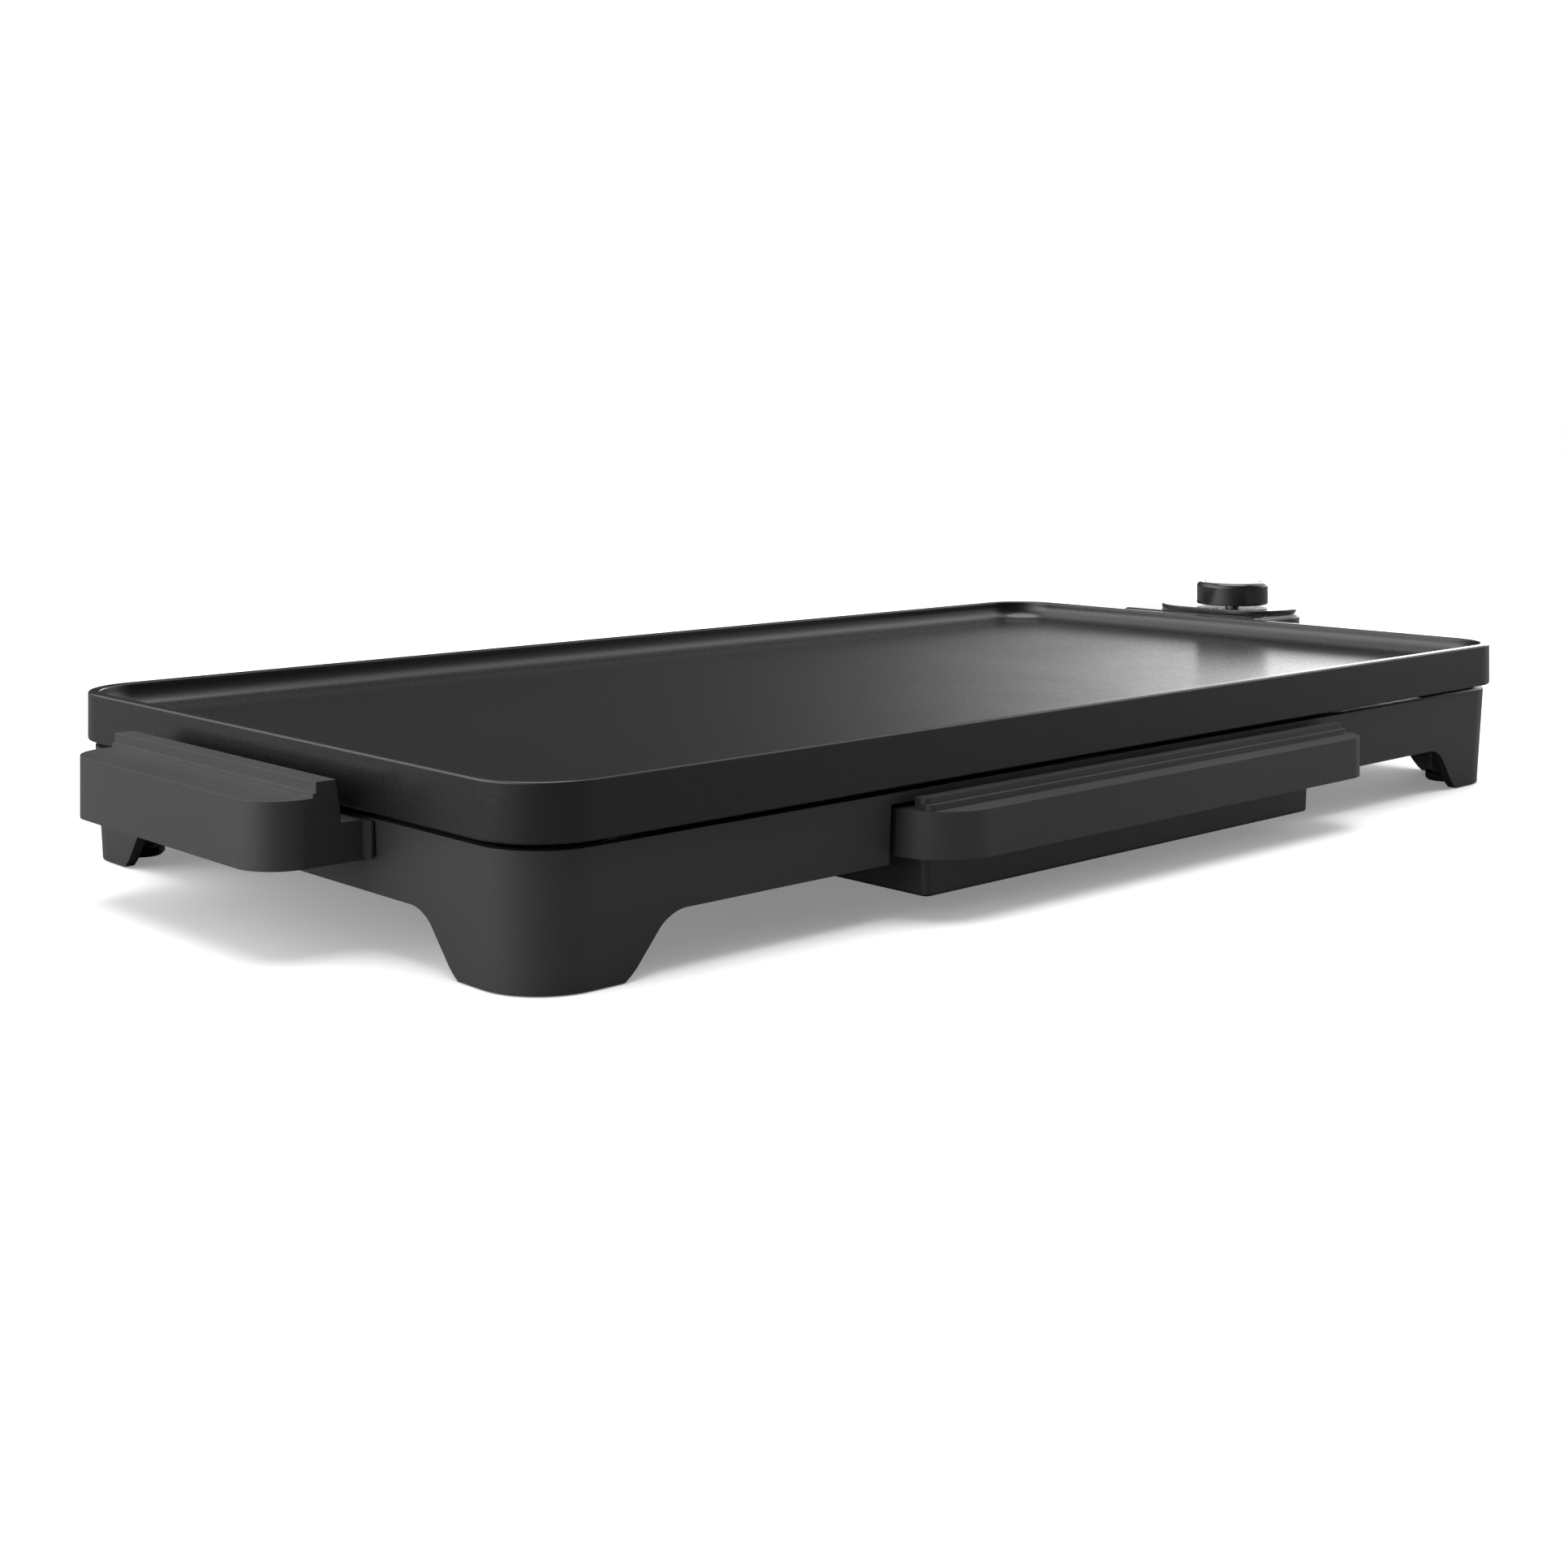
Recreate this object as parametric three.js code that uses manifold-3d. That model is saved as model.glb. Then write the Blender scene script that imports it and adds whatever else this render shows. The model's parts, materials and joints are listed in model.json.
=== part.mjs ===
// Electric griddle: cast cooking plate on a moulded base, front drip tray, plug-in thermostat.
// Millimetres, +Z up, resting on z = 0. The long side with the drip tray faces -Y.
import * as THREE from 'three';
import { mergeVertices } from 'three/addons/utils/BufferGeometryUtils.js';
import Module from 'manifold-3d';

const wasm = await Module();
wasm.setup();

// ---------- driving dimensions ----------
const GAP = 0.3;                      // clearance between neighbouring pieces
const PLATE = { length: 490, depth: 260, radius: 22.4, top: 55.7, bottom: 39.7, floor: 47.6, under: 43.2,
  rim: 3.6, cove: 6 };
const BASE = { top: 37.8, arch: 17, inset: 2.3, draft: 0.05, wall: 3.4, radius: 20.2, deckBottom: 17.4,
  deck: 2.4 };
const FOOT = { toe: 36, archStart: 55, padTop: 3.2, padRadius: 7, bossRadius: 5, inset: 19 };
const DRAIN = { halfX: 13, halfY: 4, fromFront: 20 };
const VENT = { halfWidth: 2.5, halfLength: 45, pitch: 10, pairs: [-205, -160, 140, 190] };
const TRAY = { half: 101.4, front: -130, back: 10, bottom: 6, top: 30, wall: 1.8, draft: 1.6, lip: 7,
  lipTall: 1.6 };
const OPENING = { half: 112, top: 34.6 };
const GRIP = { left: -109, right: 117, reach: 15.5, bottom: 19, top: 33, radius: 20, radiusRight: 12,
  edge: 0.7, wingBack: -124, step: 1.8, ridgeMid: 5.4, ridgeOuter: 7.4, ridgeIn: 3, screwX: 70, screwZ: 25 };
const LEFT = { mid: 5.1, half: 59, reach: 30, bottom: 26.2, shelf: 37.3, top: 45, ridgeInner: 6,
  ridgeMid: 13.7, ridgeOuter: 14.6, lowStep: 1.2, highStep: 3.1, radius: 13.5, skin: 3, solid: 8,
  screwY: 36, screwZ: 32 };
const RIGHT = { half: 68, bayHalf: 39.7, floor: 28.5, screwY: 54 };
const THERMO = { y: 24, mid: 30, half: 38.2, inner: 247.6, outer: 297, glandTip: 299, bottom: 28.9, split: 44,
  top: 56, radius: 23.7, wall: 2, edge: 2.2, glandZ: 37.5, screwX: 281, screwY: 27 };
const SWITCH = { back: 258, front: 286, half: 15, bottom: 34, top: 46, boss: 6, bossTop: 49.8 };
const SHROUD = { back: 239.2, front: 246.6, half: 19.4, rise: 0.4, top: 39.2 };
const PROBE = { tip: 180, radius: 2.6, rear: 257.7, well: 4.2, wellBore: 3.5, wellStart: 176, wellEnd: 237 };
const HANGER = { start: 202, end: 208, half: 6.2 };
const DIAL = { y: 26.3, halfX: 20.5, halfY: 32.7, radius: 20.5, thick: 1.8 };
const LAMP = { y: 38, z: 50, lens: 2.5, glow: 2, back: 292.4 };
const KNOB = { x: 274, radius: 16.2, bottom: 59, top: 69.2, spindle: 3, edge: 2.2 };
const ELEMENT = { radius: 3.5, z: 39.3, terminalZ: 34.9, spread: 11, tail: 238, sleeve: 3.2, pin: 2,
  nearX: 150, farX: -205, bend: 30, loopY: 70 };
const CLAMP = { half: 5, width: 9, web: 1.6 };
const POST = { x: 180, y: 85, radius: 7, neck: 4.6, shieldZ: 31.6 };
const SHIELD = { z: 31.9, thick: 0.8, halfX: 222, halfY: 112 };
const SCREW = { radius: 2, bore: 2.3, head: 3.8, headTall: 2.4 };
const CORNER_STEPS = 7;               // facets in each quarter turn of a rounded corner
const ROUND = 20;                     // facets round a small turned piece

const HALF_L = PLATE.length / 2;
const HALF_D = PLATE.depth / 2;
const SHIFT_X = (HALF_L + LEFT.reach - THERMO.glandTip) / 2;
const SHIFT_Y = GRIP.reach / 2;
const DRAIN_Y = -HALF_D + DRAIN.fromFront;
const HANDLE_SCREWS = { left: [LEFT.mid - LEFT.screwY, LEFT.mid + LEFT.screwY],
  right: [THERMO.mid - RIGHT.screwY, THERMO.mid + RIGHT.screwY] };
const GRIP_SCREWS = [-GRIP.screwX, GRIP.screwX];
const HOUSING_SCREWS = [THERMO.mid - THERMO.screwY, THERMO.mid + THERMO.screwY];
const RAIL_FRONT = TRAY.front + 8;
const SLEEVE_BORE = ELEMENT.sleeve + 0.4;
const NOTCH_HALF = SHROUD.half + 2 * GAP;
const CORNERS = [['front_left', -1, -1], ['front_right', 1, -1], ['back_left', -1, 1], ['back_right', 1, 1]];

// ---------- finishes ----------
const finish = (color, roughness, metalness = 0) =>
  new THREE.MeshStandardMaterial({ color, roughness, metalness });
const coated = finish(0x1b1c1d, 0.48, 0.15);
const moulded = finish(0x242526, 0.55);
const glossy = finish(0x101112, 0.18);
const steel = finish(0xb4b6b8, 0.32, 0.95);
const zinc = finish(0x9a9da1, 0.4, 0.9);
const rubber = finish(0x161616, 0.85);
const ceramic = finish(0xd8d2c4, 0.6);
const amber = finish(0xd0541c, 0.15);
const white = finish(0xe8e8e6, 0.5);

// ---------- solid helpers ----------
/** Manifold solid of a three.js geometry. */
function solid(geometry) {
  const g = geometry.clone();
  g.deleteAttribute('normal');
  g.deleteAttribute('uv');
  const m = mergeVertices(g, 1e-4);
  return new wasm.Manifold(new wasm.Mesh({
    numProp: 3, vertProperties: m.attributes.position.array, triVerts: new Uint32Array(m.index.array) }));
}

/** three.js geometry of a manifold solid. */
function geometryOf(body) {
  const mesh = body.getMesh();
  const g = new THREE.BufferGeometry();
  g.setAttribute('position', new THREE.BufferAttribute(new Float32Array(mesh.vertProperties), 3));
  g.setIndex(new THREE.BufferAttribute(new Uint32Array(mesh.triVerts), 1));
  g.computeVertexNormals();
  return g;
}

const join = (...list) => geometryOf(list.map(solid).reduce((a, b) => a.add(b)));
const cut = (whole, ...tools) => geometryOf(tools.map(solid).reduce((a, b) => a.subtract(b), solid(whole)));

/** Box given by its limits. */
function box(x0, x1, y0, y1, z0, z1) {
  return new THREE.BoxGeometry(x1 - x0, y1 - y0, z1 - z0)
    .translate((x0 + x1) / 2, (y0 + y1) / 2, (z0 + z1) / 2);
}

/** Horizontal rounded rectangle as a ring of points; radii can differ at the left and right ends. */
function ring(x0, x1, y0, y1, z, radius, radiusRight = radius) {
  const corners = [[x1 - radiusRight, y0 + radiusRight, -0.5, radiusRight],
    [x1 - radiusRight, y1 - radiusRight, 0, radiusRight],
    [x0 + radius, y1 - radius, 0.5, radius], [x0 + radius, y0 + radius, 1, radius]];
  const points = [];
  for (const [cx, cy, start, r] of corners) {
    for (let i = 0; i <= CORNER_STEPS; i += 1) {
      const a = (start + 0.5 * i / CORNER_STEPS) * Math.PI;
      points.push(new THREE.Vector3(cx + r * Math.cos(a), cy + r * Math.sin(a), z));
    }
  }
  return points;
}

/** Rounded rectangle centred on the origin, drawn in from a full size by an inset. */
function insetRing(halfX, halfY, radius, inset, z) {
  const r = Math.max(radius - inset, 1.5);
  return ring(-halfX + inset, halfX - inset, -halfY + inset, halfY - inset, z, r);
}

/** Closed body through a stack of rings with equal point counts, capped at both ends. */
function loft(rings) {
  const n = rings[0].length;
  const flat = rings.flat();
  const index = [];
  for (let k = 0; k < rings.length - 1; k += 1) {
    for (let i = 0; i < n; i += 1) {
      const j = (i + 1) % n;
      const a = k * n + i, b = k * n + j, c = (k + 1) * n + j, d = (k + 1) * n + i;
      index.push(a, b, c, a, c, d);
    }
  }
  const cap = (points, base, flip) => {
    const shape = points.map((p) => new THREE.Vector2(p.x, p.y));
    for (const [a, b, c] of THREE.ShapeUtils.triangulateShape(shape, [])) {
      index.push(base + a, base + (flip ? c : b), base + (flip ? b : c));
    }
  };
  cap(rings[0], 0, true);
  cap(rings[rings.length - 1], (rings.length - 1) * n, false);
  const g = new THREE.BufferGeometry();
  g.setAttribute('position', new THREE.Float32BufferAttribute(flat.flatMap((p) => [p.x, p.y, p.z]), 3));
  g.setIndex(index);
  g.computeVertexNormals();
  return g;
}

/** Turned piece standing along Z from a list of [radius, height] pairs. */
function turned(profile, x, y, steps = ROUND) {
  const g = new THREE.LatheGeometry(profile.map(([r, z]) => new THREE.Vector2(r, z)), steps);
  return g.rotateX(Math.PI / 2).translate(x, y, 0);
}

/** Turned piece lying along X from a list of [radius, distance along X] pairs. */
function turnedAlongX(profile, y, z, steps = ROUND) {
  const g = new THREE.LatheGeometry(profile.map(([r, h]) => new THREE.Vector2(r, h)), steps);
  return g.rotateZ(-Math.PI / 2).translate(0, y, z);
}

/** Plain round bar standing along Z. */
const pillar = (r, z0, z1, x, y, steps = ROUND) => turned([[0, z0], [r, z0], [r, z1], [0, z1]], x, y, steps);
/** Plain round bar lying along X. */
const bar = (r, x0, x1, y, z, steps = ROUND) =>
  turnedAlongX([[0, x0], [r, x0], [r, x1], [0, x1]], y, z, steps);
/** Plain round bar lying along Y. */
const barY = (r, y0, y1, x, z, steps = ROUND) =>
  pillar(r, -y1, -y0, 0, 0, steps).rotateX(Math.PI / 2).translate(x, 0, z);

/** Flat outline in the XZ plane (or YZ when turned) pushed through the whole object. */
function archTool(outline, span, turnedQuarter) {
  const shape = new THREE.Shape(outline.map(([u, v]) => new THREE.Vector2(u, v)));
  const g = new THREE.ExtrudeGeometry(shape, { depth: 2 * span, bevelEnabled: false });
  g.translate(0, 0, -span).rotateX(Math.PI / 2);
  return turnedQuarter ? g.rotateZ(Math.PI / 2) : g;
}

// ---------- base ----------
const baseInset = (z) => BASE.inset + (BASE.top - z) * BASE.draft;
const skirtRing = (z, extra = 0) =>
  insetRing(HALF_L, HALF_D, BASE.radius + baseInset(z), baseInset(z) + extra, z);

/** Opening under one side of the skirt: sloped, rounded foot flanks up to a level edge. */
function archOutline(half) {
  const flank = [[-1.5, -1], [-0.6, 0.6], [2, 2.2], [6.3, 8], [11.4, 14], [14.6, 16.2]]
    .map(([u, v]) => [FOOT.toe + u, v]);
  flank.push([FOOT.archStart, BASE.arch]);
  const left = flank.map(([u, v]) => [-half + u, v]);
  return [...left, ...left.map(([u, v]) => [-u, v]).reverse()];
}

function baseShell() {
  const outer = loft([skirtRing(GAP), skirtRing(BASE.top - 0.8), skirtRing(BASE.top, 0.8)]);
  const deckTop = BASE.deckBottom + BASE.deck;
  const below = loft([skirtRing(-5, BASE.wall), skirtRing(BASE.deckBottom, BASE.wall)]);
  const above = loft([skirtRing(deckTop, BASE.wall), skirtRing(BASE.top + 5, BASE.wall - 0.5)]);
  const tools = [below, above, archTool(archOutline(HALF_L), 400, false),
    archTool(archOutline(HALF_D), 400, true)];
  tools.push(box(-OPENING.half, OPENING.half, -150, TRAY.back + 5, -5, OPENING.top));
  for (const x of [-POST.x, POST.x]) for (const y of [-POST.y, POST.y]) {
    tools.push(pillar(SCREW.bore, 10, 25, x, y, 12));
  }
  for (const y of HANDLE_SCREWS.left) tools.push(bar(SCREW.bore, -250, -230, y, LEFT.screwZ, 12));
  for (const y of HANDLE_SCREWS.right) tools.push(bar(SCREW.bore, 230, 250, y, LEFT.screwZ, 12));
  tools.push(box(230, 250, THERMO.y - NOTCH_HALF, THERMO.y + NOTCH_HALF, RIGHT.floor - 0.2, BASE.top + 2));
  for (const x of VENT.pairs.flatMap((first) => [first, first + VENT.pitch])) {
    tools.push(box(x - VENT.halfWidth, x + VENT.halfWidth, -VENT.halfLength, VENT.halfLength, 10, 25));
  }
  const shell = cut(outer, ...tools);
  const bosses = footCentres().map(({ x, y }) =>
    pillar(FOOT.bossRadius, FOOT.padTop + GAP, BASE.deckBottom + 0.5, x, y, 14));
  return join(shell, ...bosses);
}

const footCentres = () => CORNERS.map(([tag, sx, sy]) =>
  ({ tag, x: sx * (HALF_L - FOOT.inset), y: sy * (HALF_D - FOOT.inset) }));

/** Soft foot with a chamfered sole, seated under its boss. */
const footPad = (x, y) => turned([[0, 0], [FOOT.padRadius - 1, 0], [FOOT.padRadius, 1],
  [FOOT.padRadius, FOOT.padTop], [0, FOOT.padTop]], x, y, 18);

// ---------- cooking plate ----------
function griddlePlate() {
  const r = PLATE.radius;
  const at = (inset, z) => insetRing(HALF_L, HALF_D, r, inset, z);
  const rings = [at(6.6, PLATE.under), at(4.4, PLATE.bottom + 1), at(3.8, PLATE.bottom),
    at(0.5, PLATE.bottom), at(0, PLATE.bottom + 0.6), at(0, PLATE.top - 0.9), at(0.9, PLATE.top),
    at(PLATE.rim - 0.6, PLATE.top), at(PLATE.rim, PLATE.top - 0.6)];
  for (let i = 0; i <= 4; i += 1) {
    const a = i * Math.PI / 8;
    const inset = PLATE.rim + 0.4 + PLATE.cove * (1 - Math.cos(a));
    rings.push(at(inset, PLATE.floor + PLATE.cove * (1 - Math.sin(a))));
  }
  const holes = [];
  for (const x of [-POST.x, POST.x]) for (const y of [-POST.y, POST.y]) {
    holes.push(pillar(SCREW.bore, PLATE.under - 1, PLATE.floor - 2, x, y, 12));
  }
  const drain = loft([30, 60].map((z) =>
    ring(-DRAIN.halfX, DRAIN.halfX, DRAIN_Y - DRAIN.halfY, DRAIN_Y + DRAIN.halfY, z, DRAIN.halfY - 0.1)));
  return cut(loft(rings), ...holes, drain);
}

/** Hollow stand-off between deck and plate, with a shoulder that carries the heat shield. */
function platePost(x, y) {
  const z0 = BASE.deckBottom + BASE.deck + GAP;
  const outside = turned([[0, z0], [POST.radius, z0], [POST.radius, POST.shieldZ], [POST.neck, POST.shieldZ],
    [POST.neck, PLATE.under - GAP], [0, PLATE.under - GAP]], x, y, 16);
  return cut(outside, pillar(SCREW.bore, 10, 50, x, y, 12));
}

/** Pan-head screw standing on its head, shank upwards. */
function screwUp(x, y, head, tip) {
  const shoulder = head + SCREW.headTall;
  const body = turned([[0, head], [SCREW.head - 0.7, head], [SCREW.head, head + 0.7], [SCREW.head, shoulder],
    [SCREW.radius, shoulder], [SCREW.radius, tip], [0, tip]], x, y, 12);
  return cut(body, box(x - 2.6, x + 2.6, y - 0.5, y + 0.5, head - 1, head + 1));
}

/** Pan-head screw lying along X; sign +1 points its shank to +X. */
function screwAlongX(y, z, head, tip, sign) {
  const length = Math.abs(tip - head);
  const g = turnedAlongX([[0, 0], [SCREW.head, 0], [SCREW.head, SCREW.headTall],
    [SCREW.radius, SCREW.headTall], [SCREW.radius, length], [0, length]], 0, 0, 12);
  if (sign < 0) g.rotateZ(Math.PI);
  return g.translate(head, y, z);
}

function heatShield() {
  const z1 = SHIELD.z + SHIELD.thick;
  const sheet = loft([ring(-SHIELD.halfX, SHIELD.halfX, -SHIELD.halfY, SHIELD.halfY, SHIELD.z, 14),
    ring(-SHIELD.halfX, SHIELD.halfX, -SHIELD.halfY, SHIELD.halfY, z1, 14)]);
  const tools = [box(-40, 40, DRAIN_Y - 12, DRAIN_Y + 14, 20, 40),
    box(PROBE.wellStart - 4, 230, THERMO.y - NOTCH_HALF, THERMO.y + NOTCH_HALF, 20, 40)];
  for (const x of [-POST.x, POST.x]) for (const y of [-POST.y, POST.y]) {
    tools.push(pillar(POST.neck + GAP, 20, 40, x, y, 16));
  }
  return cut(sheet, ...tools);
}

// ---------- heating element and its connections ----------
/** Round tube carried along a smooth path. */
function tubeAlong(points, radius, sides, steps) {
  const path = new THREE.CatmullRomCurve3(points.map((p) => new THREE.Vector3(...p)), false, 'centripetal');
  const circle = new THREE.Shape();
  circle.absarc(0, 0, radius, 0, 2 * Math.PI, false);
  return new THREE.ExtrudeGeometry(circle,
    { steps, extrudePath: path, bevelEnabled: false, curveSegments: sides });
}

function heatingElement() {
  const { z, terminalZ, spread, tail } = ELEMENT;
  const { nearX, farX, bend, loopY } = ELEMENT;
  const leg = (y) => [[tail, y, terminalZ], [tail - 8, y, terminalZ], [tail - 16, y, z - 0.6],
    [tail - 26, y, z]];
  const front = leg(THERMO.y - spread), back = leg(THERMO.y + spread).reverse();
  const loop = [[196, -10, z], [186, -52, z], [nearX, -loopY, z], [0, -loopY, z], [farX + bend, -loopY, z],
    [farX, bend - loopY, z], [farX, loopY - bend, z], [farX + bend, loopY, z], [0, loopY, z],
    [nearX, loopY, z], [188, 62, z]];
  return tubeAlong([...front, ...loop, ...back], ELEMENT.radius, 4, 76);
}

/** Saddle strap that holds the element up against the plate. */
function elementClamp(x, y) {
  const r = ELEMENT.radius, z = ELEMENT.z;
  const { half, width, web } = CLAMP;
  const block = box(x - half, x + half, y - width, y + width, z - r - web, PLATE.under - GAP);
  const room = r + 2 * GAP;
  const mouth = box(x - half - 1, x + half + 1, y - room, y + room, z, PLATE.under + 1);
  return cut(block, bar(room, x - half - 3, x + half + 3, y, z, 12), mouth);
}

function terminalPin(y) {
  const start = ELEMENT.tail + GAP, tip = 253.4, r = ELEMENT.pin;
  return turnedAlongX([[0, start], [r, start], [r, tip - 1.2], [r - 0.8, tip], [0, tip]],
    y, ELEMENT.terminalZ, 12);
}

/** Insulating collar set into the notch of the base wall, open for the contacts and the probe. */
function terminalShroud() {
  const { back, front, half, rise, top } = SHROUD;
  const body = box(back, front, THERMO.y - half, THERMO.y + half, RIGHT.floor + rise, top);
  const openings = [-1, 0, 1].map((s) =>
    bar(SLEEVE_BORE, 230, 250, THERMO.y + s * ELEMENT.spread, ELEMENT.terminalZ, 14));
  return cut(body, ...openings);
}

/** Thin-walled sleeve that receives the sensing probe. */
function probeWell() {
  const { well, wellBore, wellStart, wellEnd } = PROBE;
  const outside = bar(well, wellStart, wellEnd, THERMO.y, ELEMENT.terminalZ, 16);
  return cut(outside, bar(wellBore, wellStart + 1.4, wellEnd + 3, THERMO.y, ELEMENT.terminalZ, 16));
}

/** Hanger that carries the sleeve of the probe below the plate. */
function probeHanger() {
  const { start, end, half } = HANGER;
  const strap = box(start, end, THERMO.y - half, THERMO.y + half, ELEMENT.terminalZ - 1, PLATE.under - GAP);
  return cut(strap, bar(PROBE.well + GAP, start - 2, end + 2, THERMO.y, ELEMENT.terminalZ, 16));
}

// ---------- carrying handles ----------
/** Grip block beside the left wall: low shelf by the base, tall outer part and a stepped inner ridge. */
function leftHandle() {
  const x = (h) => -HALF_L - h;
  const { reach, half, radius: r, bottom, shelf, top } = LEFT;
  const low = loft([ring(x(reach) + 0.8, x(-1.9), -half - 0.6, half + 0.6, bottom, r, 1.5),
    ring(x(reach), x(-1.9), -half - 1.4, half + 1.4, bottom + 0.8, r, 1.5),
    ring(x(reach), x(-1.9), -half - 1, half + 1, shelf, r, 1.5)]);
  const tall = loft([ring(x(reach), x(LEFT.ridgeInner), -half - 1, half + 1, shelf - 0.5, r, 2),
    ring(x(reach), x(LEFT.ridgeInner), -half, half, top - 0.8, r, 2),
    ring(x(reach) + 0.8, x(LEFT.ridgeInner), -half, half, top, r, 2)]);
  const ridge = (outer, z, step) => loft([z - 0.5, z + step].map((level) =>
    ring(x(outer), x(LEFT.ridgeInner), -half, half, level, 2)));
  const blank = join(low, tall, ridge(LEFT.ridgeOuter, top, LEFT.lowStep),
    ridge(LEFT.ridgeMid, top + LEFT.lowStep, LEFT.highStep));
  const pocket = loft([bottom - 2, top - LEFT.skin].map((level) =>
    ring(x(reach - LEFT.skin), x(LEFT.solid), -half + 3, half - 3, level, r - 4, 2)));
  const bores = [-1, 1].map((s) => bar(SCREW.bore, x(5), x(-4), s * LEFT.screwY, LEFT.screwZ, 12));
  return cut(blank, pocket, ...bores).translate(0, LEFT.mid, 0);
}

/** Grip block beside the right wall, with an open bay in which the thermostat sits. */
function rightHandle() {
  const y0 = THERMO.mid - RIGHT.half, y1 = THERMO.mid + RIGHT.half;
  const x0 = HALF_L - 1.9, x1 = HALF_L + LEFT.reach, { bottom, top, radius: r } = LEFT;
  const blank = loft([ring(x0, x1 - 0.8, y0 + 0.6, y1 - 0.6, bottom, 1.5, r),
    ring(x0, x1, y0, y1, bottom + 0.8, 1.5, r), ring(x0, x1, y0, y1, LEFT.shelf, 1.5, r)]);
  const tall = loft([ring(HALF_L + LEFT.ridgeInner, x1, y0, y1, LEFT.shelf - 0.5, 2, r),
    ring(HALF_L + LEFT.ridgeInner, x1, y0 + 1, y1 - 1, top - 0.8, 2, r),
    ring(HALF_L + LEFT.ridgeInner, x1 - 0.8, y0 + 1, y1 - 1, top, 2, r)]);
  const bay0 = THERMO.mid - RIGHT.bayHalf, bay1 = THERMO.mid + RIGHT.bayHalf;
  const bay = box(x0 - 2, x1 + 2, bay0, bay1, RIGHT.floor, top + 5);
  const pockets = [[y0 + 5, bay0 - 3], [bay1 + 3, y1 - 5]].map(([a, b]) =>
    box(HALF_L + 10, x1 - 8, a, b, bottom - 2, top - LEFT.skin));
  const bores = HANDLE_SCREWS.right.map((y) => bar(SCREW.bore, x0 - 4, HALF_L + 5, y, LEFT.screwZ, 12));
  return cut(join(blank, tall), bay, ...pockets, ...bores);
}

// ---------- drip tray ----------
function dripTray() {
  const { half, front, back, bottom, top, wall, draft } = TRAY;
  const inner = half - wall;
  const shell = loft([ring(-half + draft, half - draft, front, back - draft, bottom, 4),
    ring(-half, half, front, back, top, 5), ring(-inner, inner, front + wall, back - wall, top, 3.5),
    ring(-inner + draft, inner - draft, front + wall, back - draft - wall, bottom + wall, 3)]);
  const lips = [-1, 1].map((s) => {
    const a = s * (half - 0.6), b = s * (half + TRAY.lip);
    return box(Math.min(a, b), Math.max(a, b), front + 12, back - 4, TRAY.top - TRAY.lipTall, TRAY.top);
  });
  const holes = GRIP_SCREWS.map((x) => barY(SCREW.bore, front - 12, front + 12, x, GRIP.screwZ, 12));
  return cut(join(shell, ...lips), ...holes);
}

/** Pull of the drip tray: rounded block with a stepped ridge and two wings beside the tray. */
function trayGrip() {
  const { left, right, bottom, top, radius: r, radiusRight, edge, ridgeIn } = GRIP;
  const y0 = -HALF_D - GRIP.reach, y1 = GRIP.wingBack;
  const outline = (inset, z) => frontRing(left + inset, right - inset, y0 + inset, y1, z, r - inset,
    radiusRight - inset);
  const block = loft([outline(edge, bottom), outline(0, bottom + edge), outline(0, top - edge),
    outline(edge, top)]);
  const stepRing = (front, z) =>
    frontRing(left + ridgeIn, right - ridgeIn, -HALF_D - front, -HALF_D - 1.2, z, 3);
  const steps = [[GRIP.ridgeOuter, GRIP.top], [GRIP.ridgeMid, GRIP.top + GRIP.step]].map(([front, z]) =>
    loft([stepRing(front, z - 0.5), stepRing(front, z + GRIP.step)]));
  const pocket = box(-TRAY.half - 0.8, TRAY.half + 0.8, TRAY.front - GAP, y1 + 2, 10, 50);
  const relief = box(OPENING.half - 2 * GAP, right + 2, -HALF_D + BASE.inset - 2 * GAP, y1 + 2, 0, 60);
  const bores = GRIP_SCREWS.map((x) => barY(SCREW.bore, TRAY.front - 10, TRAY.front, x, GRIP.screwZ, 12));
  return cut(join(block, ...steps), pocket, relief, ...bores);
}

/** Outline rounded at its front corners only; the radii can differ. */
function frontRing(x0, x1, y0, y1, z, r, radiusRight = r) {
  const corner = (edge, side, radius) => {
    const deep = Math.min(radius, y1 - y0 - 0.5);
    return Array.from({ length: CORNER_STEPS + 1 }, (_, i) => {
      const a = i * Math.PI / 2 / CORNER_STEPS;
      return new THREE.Vector3(edge + side * radius * (1 - Math.cos(a)), y0 + deep * (1 - Math.sin(a)), z);
    });
  };
  return [...corner(x0, 1, r), ...corner(x1, -1, radiusRight).reverse(),
    new THREE.Vector3(x1, y1, z), new THREE.Vector3(x0, y1, z)];
}

/** Angle runner on the deck; side -1 is the left one. */
function trayRail(side) {
  const z0 = BASE.deckBottom + BASE.deck + GAP, zTop = TRAY.top - TRAY.lipTall - GAP;
  const span = (a, b) => [Math.min(side * a, side * b), Math.max(side * a, side * b)];
  const shelf = span(TRAY.half + 1.6, OPENING.half + 4);
  const web = span(OPENING.half + 1, OPENING.half + 4);
  const foot = span(OPENING.half + 1, OPENING.half + 10);
  return join(box(...shelf, RAIL_FRONT, TRAY.back, zTop - 2, zTop),
    box(...web, RAIL_FRONT, TRAY.back, z0, zTop - 0.5), box(...foot, RAIL_FRONT, TRAY.back, z0, z0 + 1.6));
}

/** Screw of the tray pull, driven from inside the tray. */
const gripScrew = (x) => turned([[0, 0], [SCREW.head, 0], [SCREW.head, SCREW.headTall],
  [SCREW.radius, SCREW.headTall], [SCREW.radius, 10.6], [0, 10.6]], 0, 0, 12)
  .rotateX(Math.PI / 2)
  .translate(x, TRAY.front + TRAY.wall + SCREW.headTall + GAP, GRIP.screwZ);

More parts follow.
